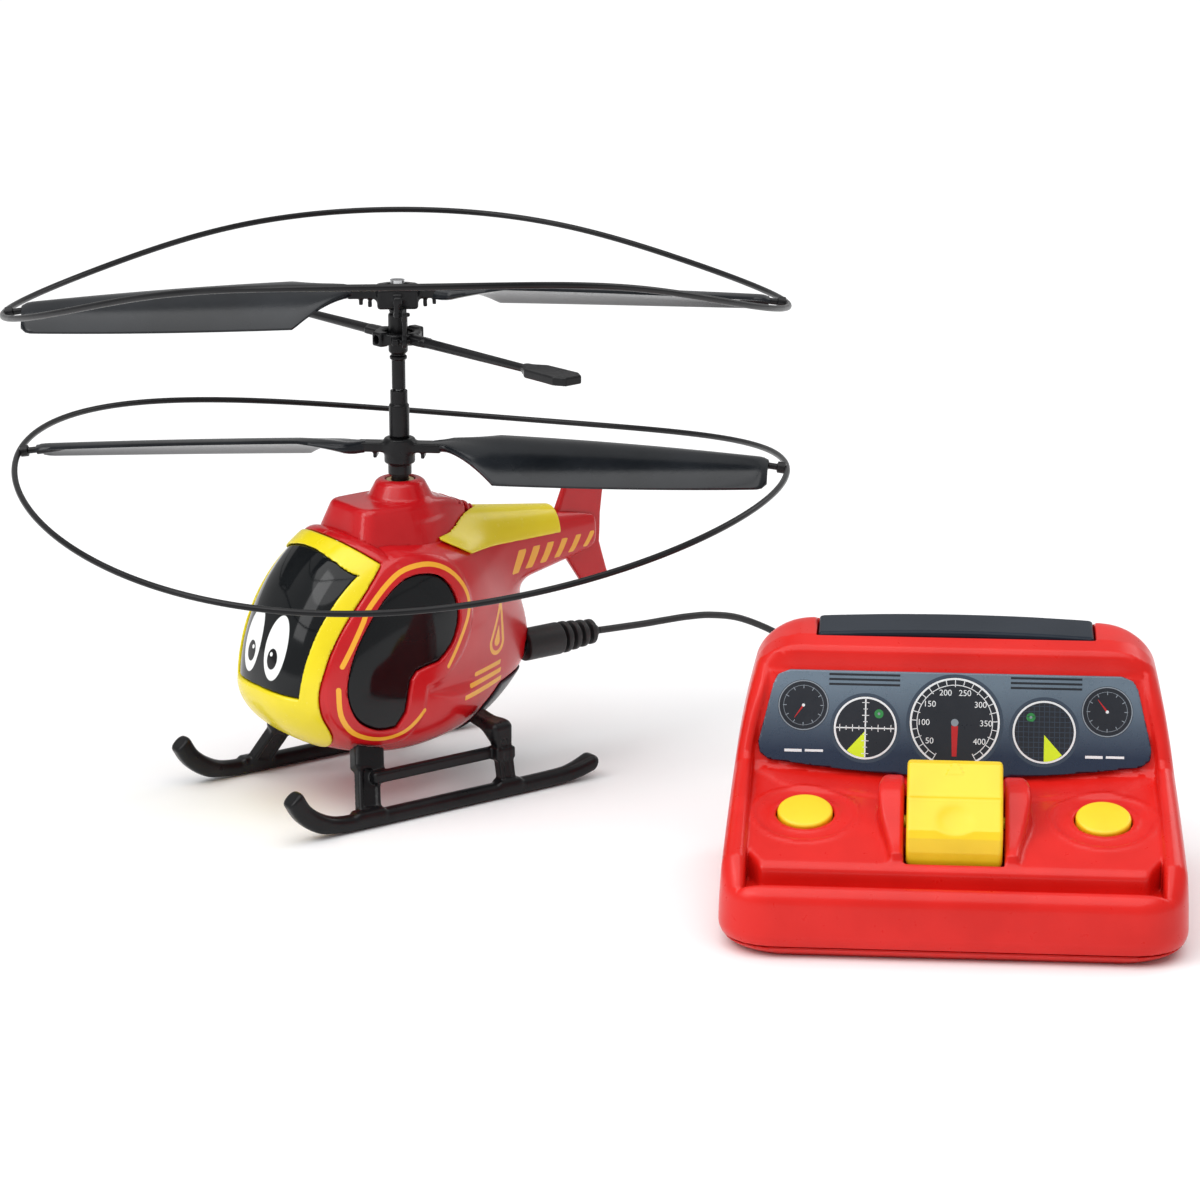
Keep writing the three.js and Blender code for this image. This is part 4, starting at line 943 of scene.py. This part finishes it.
def upper_hub(x, y, z):
    arms = block(x, y, z - 137.2, (13.5, 2.6, 1.4), 0.6)
    saddle = block(x, y, z - 136.1, (5.5, 5.0, 2.8), 0.9)
    crown = smooth_max(np.hypot(x, y) - 5.4, np.abs(z - 137.4) - 1.6, 0.8)
    ribs = np.minimum(block(np.abs(x) - 7.4, y, z - 134.9, (0.55, 1.5, 1.5), 0.3),
                      block(np.abs(x) - 9.8, y, z - 135.2, (0.55, 1.5, 1.2), 0.3))
    bridge = block(x, np.abs(y) - 6.4, z - 136.4, (1.1, 2.6, 0.9), 0.4)
    post = block(x + 0.4, np.abs(y) - LINK_REACH, z - 134.4, (0.7, 0.9, 2.6), 0.3)
    pin = rod(x, np.abs(y), z, (-0.6, LINK_REACH, 132.6), (2.6, LINK_REACH, 132.6), 0.6)
    hub = smooth_min(smooth_min(arms, saddle, 1.6), smooth_min(ribs, crown, 0.8), 0.8)
    hub = smooth_min(hub, smooth_min(smooth_min(bridge, post, 0.8), pin, 0.5), 0.8)
    hub = smooth_max(hub, -(np.hypot(x, y) - 3.3), 0.3)
    return smooth_max(hub, -(np.hypot(y, z - FEATHER_Z) - 1.15), 0.2)


def rotor_head(x, y, z):
    """The column that carries the flybar and the upper hub, in the upper rotor's own frame."""
    off = np.hypot(x, y)
    column = smooth_min(drum(x, y, z, 1.85, 110.6, 137, 0.3), drum(x, y, z, 2.6, 120.8, 131.4, 0.5), 1.0)
    for z_ring in (119.4, 132.4):
        column = smooth_min(column, drum(x, y, z, 2.35, z_ring - 0.5, z_ring + 0.5, 0.3), 0.4)
    u, v = turned(x, y, math.radians(FLYBAR_AZIMUTH - UPPER["azimuth"]))
    tilt = smooth_max(np.hypot(u, z - FLYBAR_Z) - 0.8, np.abs(v) - 5.4, 0.3)
    pins = smooth_max(np.hypot(y, z - FEATHER_Z) - 0.8, np.abs(x) - 5.2, 0.3)
    head = smooth_min(column, smooth_min(tilt, pins, 0.3), 0.5)
    return smooth_max(head, -(off - 1.45), 0.2)


PADDLE = outline([(53.4, -1.2), (57.6, -4.1), (69.4, -4.4), (72.6, -2.6), (72.6, 2.6), (69.4, 4.4),
                  (57.6, 4.1), (53.4, 1.2)], 0.5)


def flybar(x, y, z):
    off, w = np.hypot(x, y), z - FLYBAR_Z
    ring = smooth_max(smooth_max(off - 6.3, 4.2 - off, 0.4), np.abs(w) - 1.5, 0.6)
    lugs = block(x, np.abs(y) - 6.2, w, (1.9, 1.3, 1.9), 0.5)
    bars = rod(np.abs(x), y, z, (5.8, 0, FLYBAR_Z), (56, 0, FLYBAR_Z), 1.4, 1.05)
    webs = block(np.abs(x) - 8.6, y, w, (3.4, 2.4, 0.9), 0.4)
    paddle = smooth_max(PADDLE(np.abs(x), y), np.abs(w) - 1.2, 0.6)
    u, v = turned(x, y, math.radians(UPPER["azimuth"] - FLYBAR_AZIMUTH))
    ears = block(u + 0.9, np.abs(v) - 7.2, w, (0.9, 2.0, 0.9), 0.3)
    pins = rod(u, np.abs(v), z, (-0.9, LINK_REACH, FLYBAR_Z), (2.4, LINK_REACH, FLYBAR_Z), 0.6)
    bar = smooth_min(smooth_min(ring, lugs, 0.8), smooth_min(bars, webs, 1.0), 0.9)
    bar = smooth_min(bar, paddle, 1.2)
    bar = smooth_min(bar, smooth_min(ears, pins, 0.4), 0.5)
    return smooth_max(bar, -smooth_max(np.hypot(x, w) - 1.15, np.abs(y) - 12, 0.1), 0.2)


def mixing_link(side):
    def field(x, y, z):
        v = y - side * LINK_REACH
        low, high = FLYBAR_Z, 132.6
        strap = block(x - 1.6, v, z - (low + high) / 2, (0.55, 1.1, (high - low) / 2), 0.3)
        for eye in (low, high):
            boss = smooth_max(np.hypot(v, z - eye) - 1.7, np.abs(x - 1.6) - 0.65, 0.3)
            strap = smooth_min(strap, boss, 0.6)
        for eye in (low, high):
            strap = smooth_max(strap, -(np.hypot(v, z - eye) - 1.2), 0.15)
        return strap
    return field


for name, field, low, high, step, azimuth, body, node in (
    ("lower_hub", lower_hub, (-12, -5, 86), (12, 5, 98), 0.28, LOWER["azimuth"], "lower_rotor",
     "lower_rotor_hub"),
    ("upper_hub", upper_hub, (-14, -10, 131), (14, 10, 140), 0.28, UPPER["azimuth"], "upper_rotor",
     "upper_rotor_hub"),
    ("head_column", rotor_head, (-6, -6, 110), (6, 6, 138), 0.25, UPPER["azimuth"], "upper_shaft",
     "rotor_head"),
    ("stabiliser_bar", flybar, (-74, -10, 122.5), (74, 10, 128), 0.32, FLYBAR_AZIMUTH, "flybar", "flybar"),
    ("rear_link_strap", mixing_link(1), (0.5, 5.5, 123), (3, 10.5, 135), 0.22, UPPER["azimuth"],
     "rear_link", "rear_mixing_link"),
    ("front_link_strap", mixing_link(-1), (0.5, -10.5, 123), (3, -5.5, 135), 0.22, UPPER["azimuth"],
     "front_link", "front_mixing_link"),
):
    piece = moulded(name, field, low, high, step, turned_rotor(azimuth))
    tidy_piece(piece, body, BLACK, "black_plastic", node)


def mast_tube(x, y, z):
    """The outer mast: a sleeve that steps in near its top."""
    off = np.hypot(x, y)
    tube = smooth_max(off - 2.35, np.maximum(z - 110.35, 38 - z), 0.2)
    sleeve = smooth_max(off - 2.75, np.maximum(z - 106.5, 97.6 - z), 0.5)
    return smooth_max(smooth_min(tube, sleeve, 0.4), 1.5 - off, 0.1)


tidy_piece(moulded("mast_sleeve", mast_tube, (-3, -3, 37), (3, 3, 111), 0.28, MAST @ Matrix.Scale(MM, 4)),
           "lower_rotor", BLACK, "black_plastic", "outer_mast")


# ---------------------------------------------------------------- controller

CASE_SIDE = outline([(-6, -6), (-6, 17.7), (5.8, 17.9), (12, 23.2), (52.2, 35), (53.2, 36), (61.2, 56.4),
                     (62.9, 60.4), (64.2, 61.2), (70, 62.8), (83, 63.8), (88.8, 63.2), (90.3, -6)], 1.2)
CASE_HALF, CASE_MIDDLE_Y, CASE_CORNER = 57.6, 45.0, 13.0
LOWER_EDGE_R, SIDE_LEAN = 6.5, 8.6
DECK_SIDE = outline([(10.2, 0), (10.3, 21.3), (12, 22), (53.6, 34.1), (54.6, 35), (62.6, 55.2), (66, 55.2),
                     (66, 0)], 1.2)
LOWERED = outline([(-60, -9), (-60, 56), (-50, 53), (-43.5, 47), (-39, 45), (-30, 45), (-20, 42.5),
                   (20, 42.5), (30, 45), (39, 45), (43.5, 47), (50, 53), (60, 56), (60, -9)])
DECK_Y, DECK_Z, DECK_SLOPE = 11.5, 21.8, math.radians(16.2)
SEAM_Z, CASE_WALL = 3.0, 2.2
BUTTON_X, BUTTON_Y, BUTTON_R, BUTTON_LIFT = 37.0, 33.0, 6.9, 0.4
LEVER_HALF, AXLE = 11.8, (27.0, 27.5)
PANEL_FOOT, PANEL_LEAN = (54.4, 35.0), math.atan2(20.4, 8.1)
SWITCH_Z = 20.8
CHEEK = outline(
    [(12.3, 20), (12.8, 22.6)]
    + curve([(13.2, 23.8), (18, 25.8), (22, 28.4), (25, 31.2), (28.5, 34), (33, 35.6), (39, 35.4), (46, 33),
             (50, 30.5)])
    + [(49, 27), (30, 20)])


def deck_height(y):
    return DECK_Z + (y - DECK_Y) * math.tan(DECK_SLOPE)


def case_plan(x, y, z, lean=0.0):
    """How far a point is outside the case's plan at its height; the lower edge is rounded."""
    tuck = LOWER_EDGE_R - np.sqrt(LOWER_EDGE_R ** 2 - np.clip(LOWER_EDGE_R - z, 0, LOWER_EDGE_R - 0.4) ** 2)
    half = CASE_HALF - tuck - SIDE_LEAN * (np.clip(z, 0, 64) / 62) ** 2.2
    u = np.abs(x) - (half - CASE_CORNER)
    v = np.abs(y - CASE_MIDDLE_Y - lean) - (CASE_MIDDLE_Y - tuck - CASE_CORNER)
    return np.hypot(np.maximum(u, 0), np.maximum(v, 0)) + np.minimum(np.maximum(u, v), 0) - CASE_CORNER


def case_hull(x, y, z):
    lean = 0.09 * z * np.clip(1 - y / 45, 0, 1)
    return smooth_max(CASE_SIDE(y, z), case_plan(x, y, z, lean), 4.5 + 6 * ease(z, 45, 62))


def gauge_sheet(x, y, z):
    """Panel coordinates: across, up the panel, and out of it."""
    return x, *turned(y - PANEL_FOOT[0], z - PANEL_FOOT[1], PANEL_LEAN)


GAUGE_EDGE = outline(curve([(-47, -1.2), (-30, -3.2), (-12, -4.4), (12, -4.4), (30, -3.2), (47, -1.2)])
    + [(49.4, 0.6), (49.8, 3.4), (46.2, 18.6), (45, 20.8), (42, 22), (-42, 22), (-45, 20.8), (-46.2, 18.6),
       (-49.8, 3.4), (-49.4, 0.6)])


def case_body(x, y, z):
    """The whole closed shape of the top case."""
    hull = case_hull(x, y, z)
    wide = 50.9 - 3.6 * ease(z, 34, 55)
    pocket = np.maximum.reduce([np.abs(x) - wide, 15.1 - z, 6.6 - y, y - 62.9])
    hull = smooth_max(hull, -pocket, 2.5)
    button = np.hypot(np.abs(x) - BUTTON_X, (y - BUTTON_Y) / math.cos(DECK_SLOPE))
    low = 0.6 * fading(LOWERED(x, y) * 2.2)
    low = low + 0.25 * ease(13.2 - button, 0, 2.5) - 0.3 * np.exp(-((button - 13.2) / 0.9) ** 2)
    low = low - 0.25 * np.exp(-((button - 8.3) / 0.8) ** 2)
    sag = 2.0 * ease(y, 22, 54) + 2.4 * np.clip(1 - (x / 47) ** 2, 0, 1) * ease(y, 36, 54)
    sag = sag * ease(44 - z, 0, 6)
    deck_half = 47.5 + 5 * ease(y, 10, 21)
    deck = smooth_max(DECK_SIDE(y, z + (low + sag) * (z < 48)), np.abs(x) - deck_half, 1.6)
    deck = smooth_max(deck, case_hull(x, y, z) + 1.0, 1.0)
    side = np.abs(x) - 12.3
    cheek_wide = 3.3 + 3.2 * np.exp(-((y - 29.5) / 10.0) ** 2) + 1.5 * ease(y, 26, 46)
    cheek = smooth_max(CHEEK(y, z), np.maximum(-side, side - cheek_wide), 1.4)
    return smooth_min(smooth_min(hull, deck, 0.9), cheek, 1.2)


def switch_cut(x, y, z):
    return block(x - 57, y - 31.1, z - SWITCH_Z, (5, 4.1, 2.2), 0.4)


def top_case(x, y, z):
    body = case_body(x, y, z)
    shell = smooth_max(np.maximum(body, -(body + CASE_WALL)), SEAM_Z + 0.12 - z, 0.2)
    u, v, w = gauge_sheet(x, y, z)
    button = np.hypot(np.abs(x) - BUTTON_X, (y - BUTTON_Y) * math.cos(DECK_SLOPE)
                      + (z - deck_height(BUTTON_Y)) * math.sin(DECK_SLOPE)) - (BUTTON_R + 0.3)
    cuts = [block(x, y - 30.3, z - 30, (12.3, 17.5, 20), 0.3),
            np.maximum(np.hypot(y - AXLE[0], z - AXLE[1]) - 1.8, np.abs(x) - 17.2),
            switch_cut(x, y, z),
            np.maximum(np.hypot(x - GROMMET_X, z - GROMMET_Z) - 2.6, 60 - y),
            block(x, y - 77.2, z - 62.6, (35.5, 7.3, 3), 0.3),
            np.maximum(GAUGE_EDGE(u, v) + 1.0, np.maximum(np.abs(w - 2) - 3, 40 - y)),
            np.maximum(button, 14 - z)]
    for cut in cuts:
        shell = smooth_max(shell, -cut, 0.5)
    return shell


WELL_X, WELL_Y, WELL_HALF_Y = 22.95, 58.0, 26.0


def bottom_case(x, y, z):
    """The floor with rounded lower edges and the battery well standing on it."""
    floor = smooth_max(smooth_max(case_plan(x, y, z), -z, 0.5), z - SEAM_Z, 0.15)
    well = block(x, y - WELL_Y, z - 11.2, (WELL_X + 1.6, WELL_HALF_Y + 1.6, 8.7), 0.8)
    room = block(x, y - WELL_Y, z - 7.6, (WELL_X, WELL_HALF_Y, 10.7), 0.4)
    recess = block(x, y - WELL_Y, z + 0.2, (WELL_X + 2.7, 29.0, 2.0), 0.4)
    foot = np.maximum(np.hypot(np.abs(x) - 44, np.abs(y - 45) - 33) - 4.2, z - 0.4)
    base = smooth_min(floor, well, 0.8)
    for cut in (room, recess, foot):
        base = smooth_max(base, -cut, 0.3)
    return base


LEVER_SIDE = outline([(14.4, 20.4), (13.9, 24), (14, 27.6), (14.7, 29.5), (20.5, 35.0), (21, 35.9),
                      (29.6, 41.9), (32.6, 41.8), (34.4, 39.4), (37, 33), (33, 25), (20, 20)], 0.5)


def lever_frame(x, y, z):
    """The throttle lever: a stepped plate with a thumb dent, on two trunnions."""
    body = smooth_max(LEVER_SIDE(y, z), np.abs(x) - LEVER_HALF, 1.2)
    groove = np.hypot(y - 20.7, z - 35.9) - 0.55
    dent = np.sqrt(x * x + (y - 8.4) ** 2 + (z - 40.2) ** 2) - 13
    body = smooth_max(smooth_max(body, -groove, 0.4), -dent, 0.4)
    mark = np.maximum(np.abs(x) - (31.6 - y) * 0.5, 26.6 - y)
    body = body - 0.18 * ease(-mark, 0, 0.4) * (z > 36)
    axle = smooth_max(np.hypot(y - AXLE[0], z - AXLE[1]) - 1.5, np.abs(x) - 16.6, 0.3)
    return smooth_min(body, axle, 0.3)


def button_cap(x, y, z):
    cap = drum(x, y, z + 0.006 * (x * x + y * y), BUTTON_R, -3, BUTTON_LIFT - 0.3, 0.7)
    return smooth_min(cap, drum(x, y, z, 2, -12, -2, 0.3), 0.4)


def side_switch(x, y, z):
    y0, z0 = y - 29.6, z - SWITCH_Z
    knob = block(x - 53.3, y0, z0, (3.3, 2.3, 1.8), 0.7)
    for k in (-1.1, 0, 1.1):
        knob = smooth_max(knob, -(np.hypot(x - 56.8, y0 - k) - 0.45), 0.2)
    return smooth_min(knob, block(x - 49.4, y0, z0, (1, 4.8, 2.1), 0.3), 0.3)


def infrared_pane(x, y, z):
    crown = 1.0 * np.clip(1 - (x / 35.2) ** 2, 0, 1)
    top = np.maximum((z - crown) - (62.9 + 0.062 * (y - 70)), 61.4 - z)
    return smooth_max(smooth_max(top, np.abs(y - 77.2) - 7.1, 1.0), np.abs(x) - 35.2, 1.0)


def gauge_plate(x, y, z):
    u, v, w = gauge_sheet(x, y, z)
    return smooth_max(smooth_max(GAUGE_EDGE(u, v) + 0.1, w - 0.2, 0.2), -0.7 - w, 0.1)


NAVY_PRINT, GREY_PRINT = (0.008, 0.02, 0.05), (0.12, 0.17, 0.22)
GAUGE = node_material("gauge_panel", GREY_PRINT, 0.28, coat=0.15, grain=0.03, wear=0.0, variation=0.1,
                      paints=[("height", NAVY_PRINT, 1.0, 19.0)])
for name, field, low, high, step, material, slot, body, node, paint in (
    ("case_top", top_case, (-59, -1, 3), (59, 93, 65), 0.82, CASE_RED, "red_case_plastic", "controller",
     "controller_top_case", None),
    ("case_floor", bottom_case, (-59, -1, -0.5), (59, 91, 21), 0.7, CASE_RED, "red_case_plastic",
     "controller", "controller_bottom_case", None),
    ("lever", lever_frame, (-17, 13, 19), (17, 38, 43), 0.45, CONTROL_YELLOW, "yellow_control_plastic",
     "lever", "throttle_lever", None),
    ("switch_knob", side_switch, (48, 24, 18), (58, 35, 23.5), 0.28, CONTROL_YELLOW,
     "yellow_control_plastic", "side_switch", "side_switch", None),
    ("ir_window", infrared_pane, (-36, 69, 61), (36, 85, 65), 0.5, WINDOW_NAVY, "infrared_window_navy",
     "controller", "infrared_window", None),
    ("gauge_sheet", gauge_plate, (-50, 52, 31), (50, 64, 57), 0.5, GAUGE, "gauge_print", "controller",
     "gauge_panel", {"height": lambda x, y, z: gauge_sheet(x, y, z)[1]}),
):
    piece = moulded(name, field, low, high, step, CONTROL, paint=paint)
    tidy_piece(piece, body, material, slot, node)

for side, name in ((-1, "left"), (1, "right")):
    at = Matrix.Translation((side * BUTTON_X, BUTTON_Y, deck_height(BUTTON_Y)))
    piece = moulded(f"{name}_push_cap", button_cap, (-8, -8, -12), (8, 8, 2.5), 0.35,
                    CONTROL @ at @ Matrix.Rotation(DECK_SLOPE, 4, "X"))
    tidy_piece(piece, f"{name}_button", CONTROL_YELLOW, "yellow_control_plastic", f"{name}_button")


# ---------------------------------------------------------------- dials on the gauge panel

DIAL_WHITE, DIAL_BLACK, DIAL_SHADE, DIAL_RED, DIAL_LIME, DIAL_GREEN, DIAL_GREY = (
    node_material(f"dial_{name}", colour, roughness, grain=0.02, wear=0) for name, colour, roughness in (
        ("white", (0.72, 0.76, 0.78), 0.4), ("black", (0.008, 0.011, 0.018), 0.3),
        ("shade", (0.03, 0.05, 0.08), 0.35), ("red", (0.45, 0.006, 0.01), 0.35),
        ("lime", (0.62, 0.80, 0.01), 0.35), ("green", (0.02, 0.22, 0.05), 0.35),
        ("grey", (0.22, 0.26, 0.30), 0.4)))

PANEL = CONTROL @ Matrix.Translation((0, *PANEL_FOOT)) @ Matrix.Rotation(PANEL_LEAN, 4, "X")
PRINT_BASE, PRINT_LAYER = 0.22, 0.018


class Prints:
    """Flat printed shapes gathered by ink; each new layer lies a hair above the last."""

    def __init__(self):
        self.inks = {}

    def add(self, ink, layer, polygons):
        points, faces = self.inks.setdefault(ink.name, (ink, [], []))[1:]
        height = PRINT_BASE + PRINT_LAYER * layer
        for polygon in polygons:
            faces.append(tuple(range(len(points), len(points) + len(polygon))))
            points.extend((u, v, height) for u, v in polygon)

    def make(self):
        for ink, points, faces in self.inks.values():
            sheet = mesh_object(f"{ink.name}_print", points, faces, PANEL)
            tidy_piece(sheet, "controller", ink, "gauge_print")


def arc_point(middle_u, middle_v, r, turn):
    """A point on a dial; turn is in degrees clockwise from straight up."""
    a = math.radians(turn)
    return middle_u + r * math.sin(a), middle_v + r * math.cos(a)


def band(u, v, inner, outer, start=0.0, end=360.0, steps=72):
    turns = [start + (end - start) * i / steps for i in range(steps + 1)]
    return [[arc_point(u, v, inner, a), arc_point(u, v, inner, b), arc_point(u, v, outer, b),
             arc_point(u, v, outer, a)] for a, b in zip(turns, turns[1:])]


def disc(u, v, r, steps=48):
    return [[arc_point(u, v, r, 360 - 360 * i / steps) for i in range(steps)]]


def spoke(u, v, turn, inner, outer, wide, end_wide=None):
    end_wide = wide if end_wide is None else end_wide
    a, b = arc_point(u, v, inner, turn), arc_point(u, v, outer, turn)
    cross = (math.cos(math.radians(turn)) / 2, -math.sin(math.radians(turn)) / 2)
    beside = lambda p, far: (p[0] + cross[0] * far, p[1] + cross[1] * far)
    return [[beside(a, -wide), beside(a, wide), beside(b, end_wide), beside(b, -end_wide)]]


def bar(u, v, wide, high):
    return [[(u, v), (u + wide, v), (u + wide, v + high), (u, v + high)]]


prints = Prints()


def round_dial(u, v, r):
    prints.add(DIAL_SHADE, 0, band(u, v, r, r + 0.8))
    prints.add(DIAL_BLACK, 0, disc(u, v, r))
    prints.add(DIAL_WHITE, 1, band(u, v, r - 0.62, r - 0.12))


CENTRE_DIAL = (0.0, 9.2, 11.5)
round_dial(*CENTRE_DIAL)
u, v, r = CENTRE_DIAL
prints.add(DIAL_WHITE, 1, band(u, v, r - 2.05, r - 1.85, -150, 150))
for i in range(25):
    turn = -150 + 12.5 * i
    prints.add(DIAL_WHITE, 1, spoke(u, v, turn, r - 1.9 - 0.55 * (i % 3 == 0), r - 0.6, 0.2))
prints.add(DIAL_RED, 2, spoke(u, v, 180, 0.8, 8.6, 1.7, 1.2))
prints.add(DIAL_GREY, 3, disc(u, v, 0.95, 24))

for side in (-1, 1):
    u, v, r = side * 22.6, 7.3, 8.1
    round_dial(u, v, r)
    start, end = (180, 222) if side < 0 else (138, 180)
    fan = [arc_point(u, v - 0.7, r - 1.3, end - (end - start) * i / 10) for i in range(11)]
    prints.add(DIAL_LIME, 2 if side > 0 else 1, [[(u, v - 0.7)] + fan])
    prints.add(DIAL_GREEN, 1, disc(u - side * 3.4, v + 3.7, 1.15, 24))
    prints.add(DIAL_GREY, 2, disc(u - side * 3.4, v + 3.7, 0.35, 16))
    if side < 0:
        reach = r - 0.7
        prints.add(DIAL_WHITE, 2, spoke(u, v, 0, -reach, reach, 0.34) + spoke(u, v, 90, -reach, reach, 0.3))
        for k in range(-4, 5):
            if k:
                tick = 0.55 if k % 2 else 0.9
                prints.add(DIAL_WHITE, 2, bar(u + k * 1.62 - 0.09, v - tick, 0.18, 2 * tick)
                           + bar(u - tick, v + k * 1.62 - 0.09, 2 * tick, 0.18))
    else:
        for k in range(-5, 6):
            reach = math.sqrt((r - 0.8) ** 2 - (1.3 * k) ** 2)
            prints.add(DIAL_SHADE, 1, bar(u + 1.3 * k - 0.07, v - reach, 0.14, 2 * reach)
                       + bar(u - reach, v + 1.3 * k - 0.07, 2 * reach, 0.14))
    u, v, r = side * 38.4, 12.8, 6.5
    prints.add(DIAL_BLACK, 0, disc(u, v, r))
    prints.add(DIAL_GREY, 1, band(u, v, r - 0.4, r - 0.12))
    prints.add(DIAL_GREY, 1, band(u, v, r - 1.5, r - 1.4))
    for i in range(12):
        prints.add(DIAL_GREY, 1, spoke(u, v, 30 * i, r - 2.2, r - 1.3, 0.2))
    prints.add(DIAL_RED, 2, spoke(u, v, 215 if side < 0 else 322, 0, r - 2.6, 0.5, 0.15))
    prints.add(DIAL_WHITE, 3, disc(u, v, 0.4, 16))
    for k in range(3):
        prints.add(DIAL_BLACK, 0, bar(side * 23 - 9, 20.6 - 1.25 * k, 18, 0.55))
    prints.add(DIAL_WHITE, 0, bar(side * 38 - 5, 0.9, 4.4, 0.7) + bar(side * 38 + 0.2, 1.0, 4.6, 0.6))
prints.make()


def dial_numbers():
    """Plain numbers round the middle dial."""
    for i, number in enumerate(range(50, 401, 50)):
        turn = -127 + 36.3 * i
        u, v = arc_point(CENTRE_DIAL[0], CENTRE_DIAL[1], CENTRE_DIAL[2] - 3.6, turn)
        text = bpy.data.curves.new(f"number_{number}", "FONT")
        text.body = str(number)
        text.size = 2.15
        text.align_x = text.align_y = "CENTER"
        holder = bpy.data.objects.new(f"number_{number}", text)
        mesh = bpy.data.meshes.new_from_object(holder)
        points = [(p.co.x + u, p.co.y + v, PRINT_BASE + PRINT_LAYER) for p in mesh.vertices]
        faces = [tuple(f.vertices) for f in mesh.polygons]
        bpy.data.objects.remove(holder)
        yield mesh_object(f"dial_number_{number}", points, faces, PANEL)


for number in dial_numbers():
    tidy_piece(number, "controller", DIAL_WHITE, "gauge_print")


# ---------------------------------------------------------------- kept CAD pieces

KEPT_LOOKS = (
    (GEAR_WHITE, ("lower_rotor_gear", "upper_rotor_gear")),
    (BRASS, ("front_pinion", "rear_pinion", "lower_mast_bearing", "upper_mast_bearing")),
    (STEEL, ("front_motor", "rear_motor", "inner_shaft", "head_screw", "plug_tip")),
    (BLACK, ("gearbox_frame", "charge_socket", "infrared_receiver", "power_switch_body",
             "power_switch_slider")),
    (FOIL, ("battery_pack", "battery_cell_1", "battery_cell_2", "battery_cell_3")),
    (BOARD, ("circuit_board", "controller_circuit_board")),
    (SMOKE, ("infrared_led",)),
    (CASE_RED, ("battery_door",)),
)
for look, nodes in KEPT_LOOKS:
    for node in nodes:
        set_look(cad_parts[node], look)


# ---------------------------------------------------------------- floor and light

FLOOR = node_material("studio_floor", (0.90, 0.90, 0.905), 0.55, grain=0.02, variation=0.01, wear=0,
                      blotch_scale=4, specular=0.2)
floor_mesh = bpy.data.meshes.new("floor")
FLOOR_HALF = 6.0
floor_corners = [(FLOOR_HALF * i, FLOOR_HALF * j, 0) for i, j in ((-1, -1), (1, -1), (1, 1), (-1, 1))]
floor_mesh.from_pydata(floor_corners, [], [(0, 1, 2, 3)])
floor_mesh.materials.append(FLOOR)
floor = placed("floor", floor_mesh)

world = bpy.data.worlds.new("studio")
bpy.context.scene.world = world
world.use_nodes = True
world.node_tree.nodes["Background"].inputs["Color"].default_value = (1, 1, 1, 1)
world.node_tree.nodes["Background"].inputs["Strength"].default_value = 0.47


def soft_light(name, place, target, size, power):
    data = bpy.data.lights.new(name, "AREA")
    data.shape = "RECTANGLE"
    data.size, data.size_y = size
    data.energy = power
    made = placed(name, data)
    made.location = place
    made.rotation_euler = (Vector(target) - Vector(place)).to_track_quat("-Z", "Y").to_euler()


CENTRE = (0.02, 0.0, 0.05)
soft_light("left_front", (-0.9, -0.6, 0.8), CENTRE, (0.5, 0.9), 4.0)
soft_light("right_back", (0.8, 0.7, 0.8), CENTRE, (0.6, 0.6), 2.2)
sky_data = bpy.data.lights.new("sky", "SUN")
sky_data.energy = 2.3
sky_data.angle = math.radians(75)
sky = placed("sky", sky_data)
sky.rotation_euler = (math.radians(12), math.radians(-10), 0)

bpy.context.scene.view_settings.view_transform = "Standard"
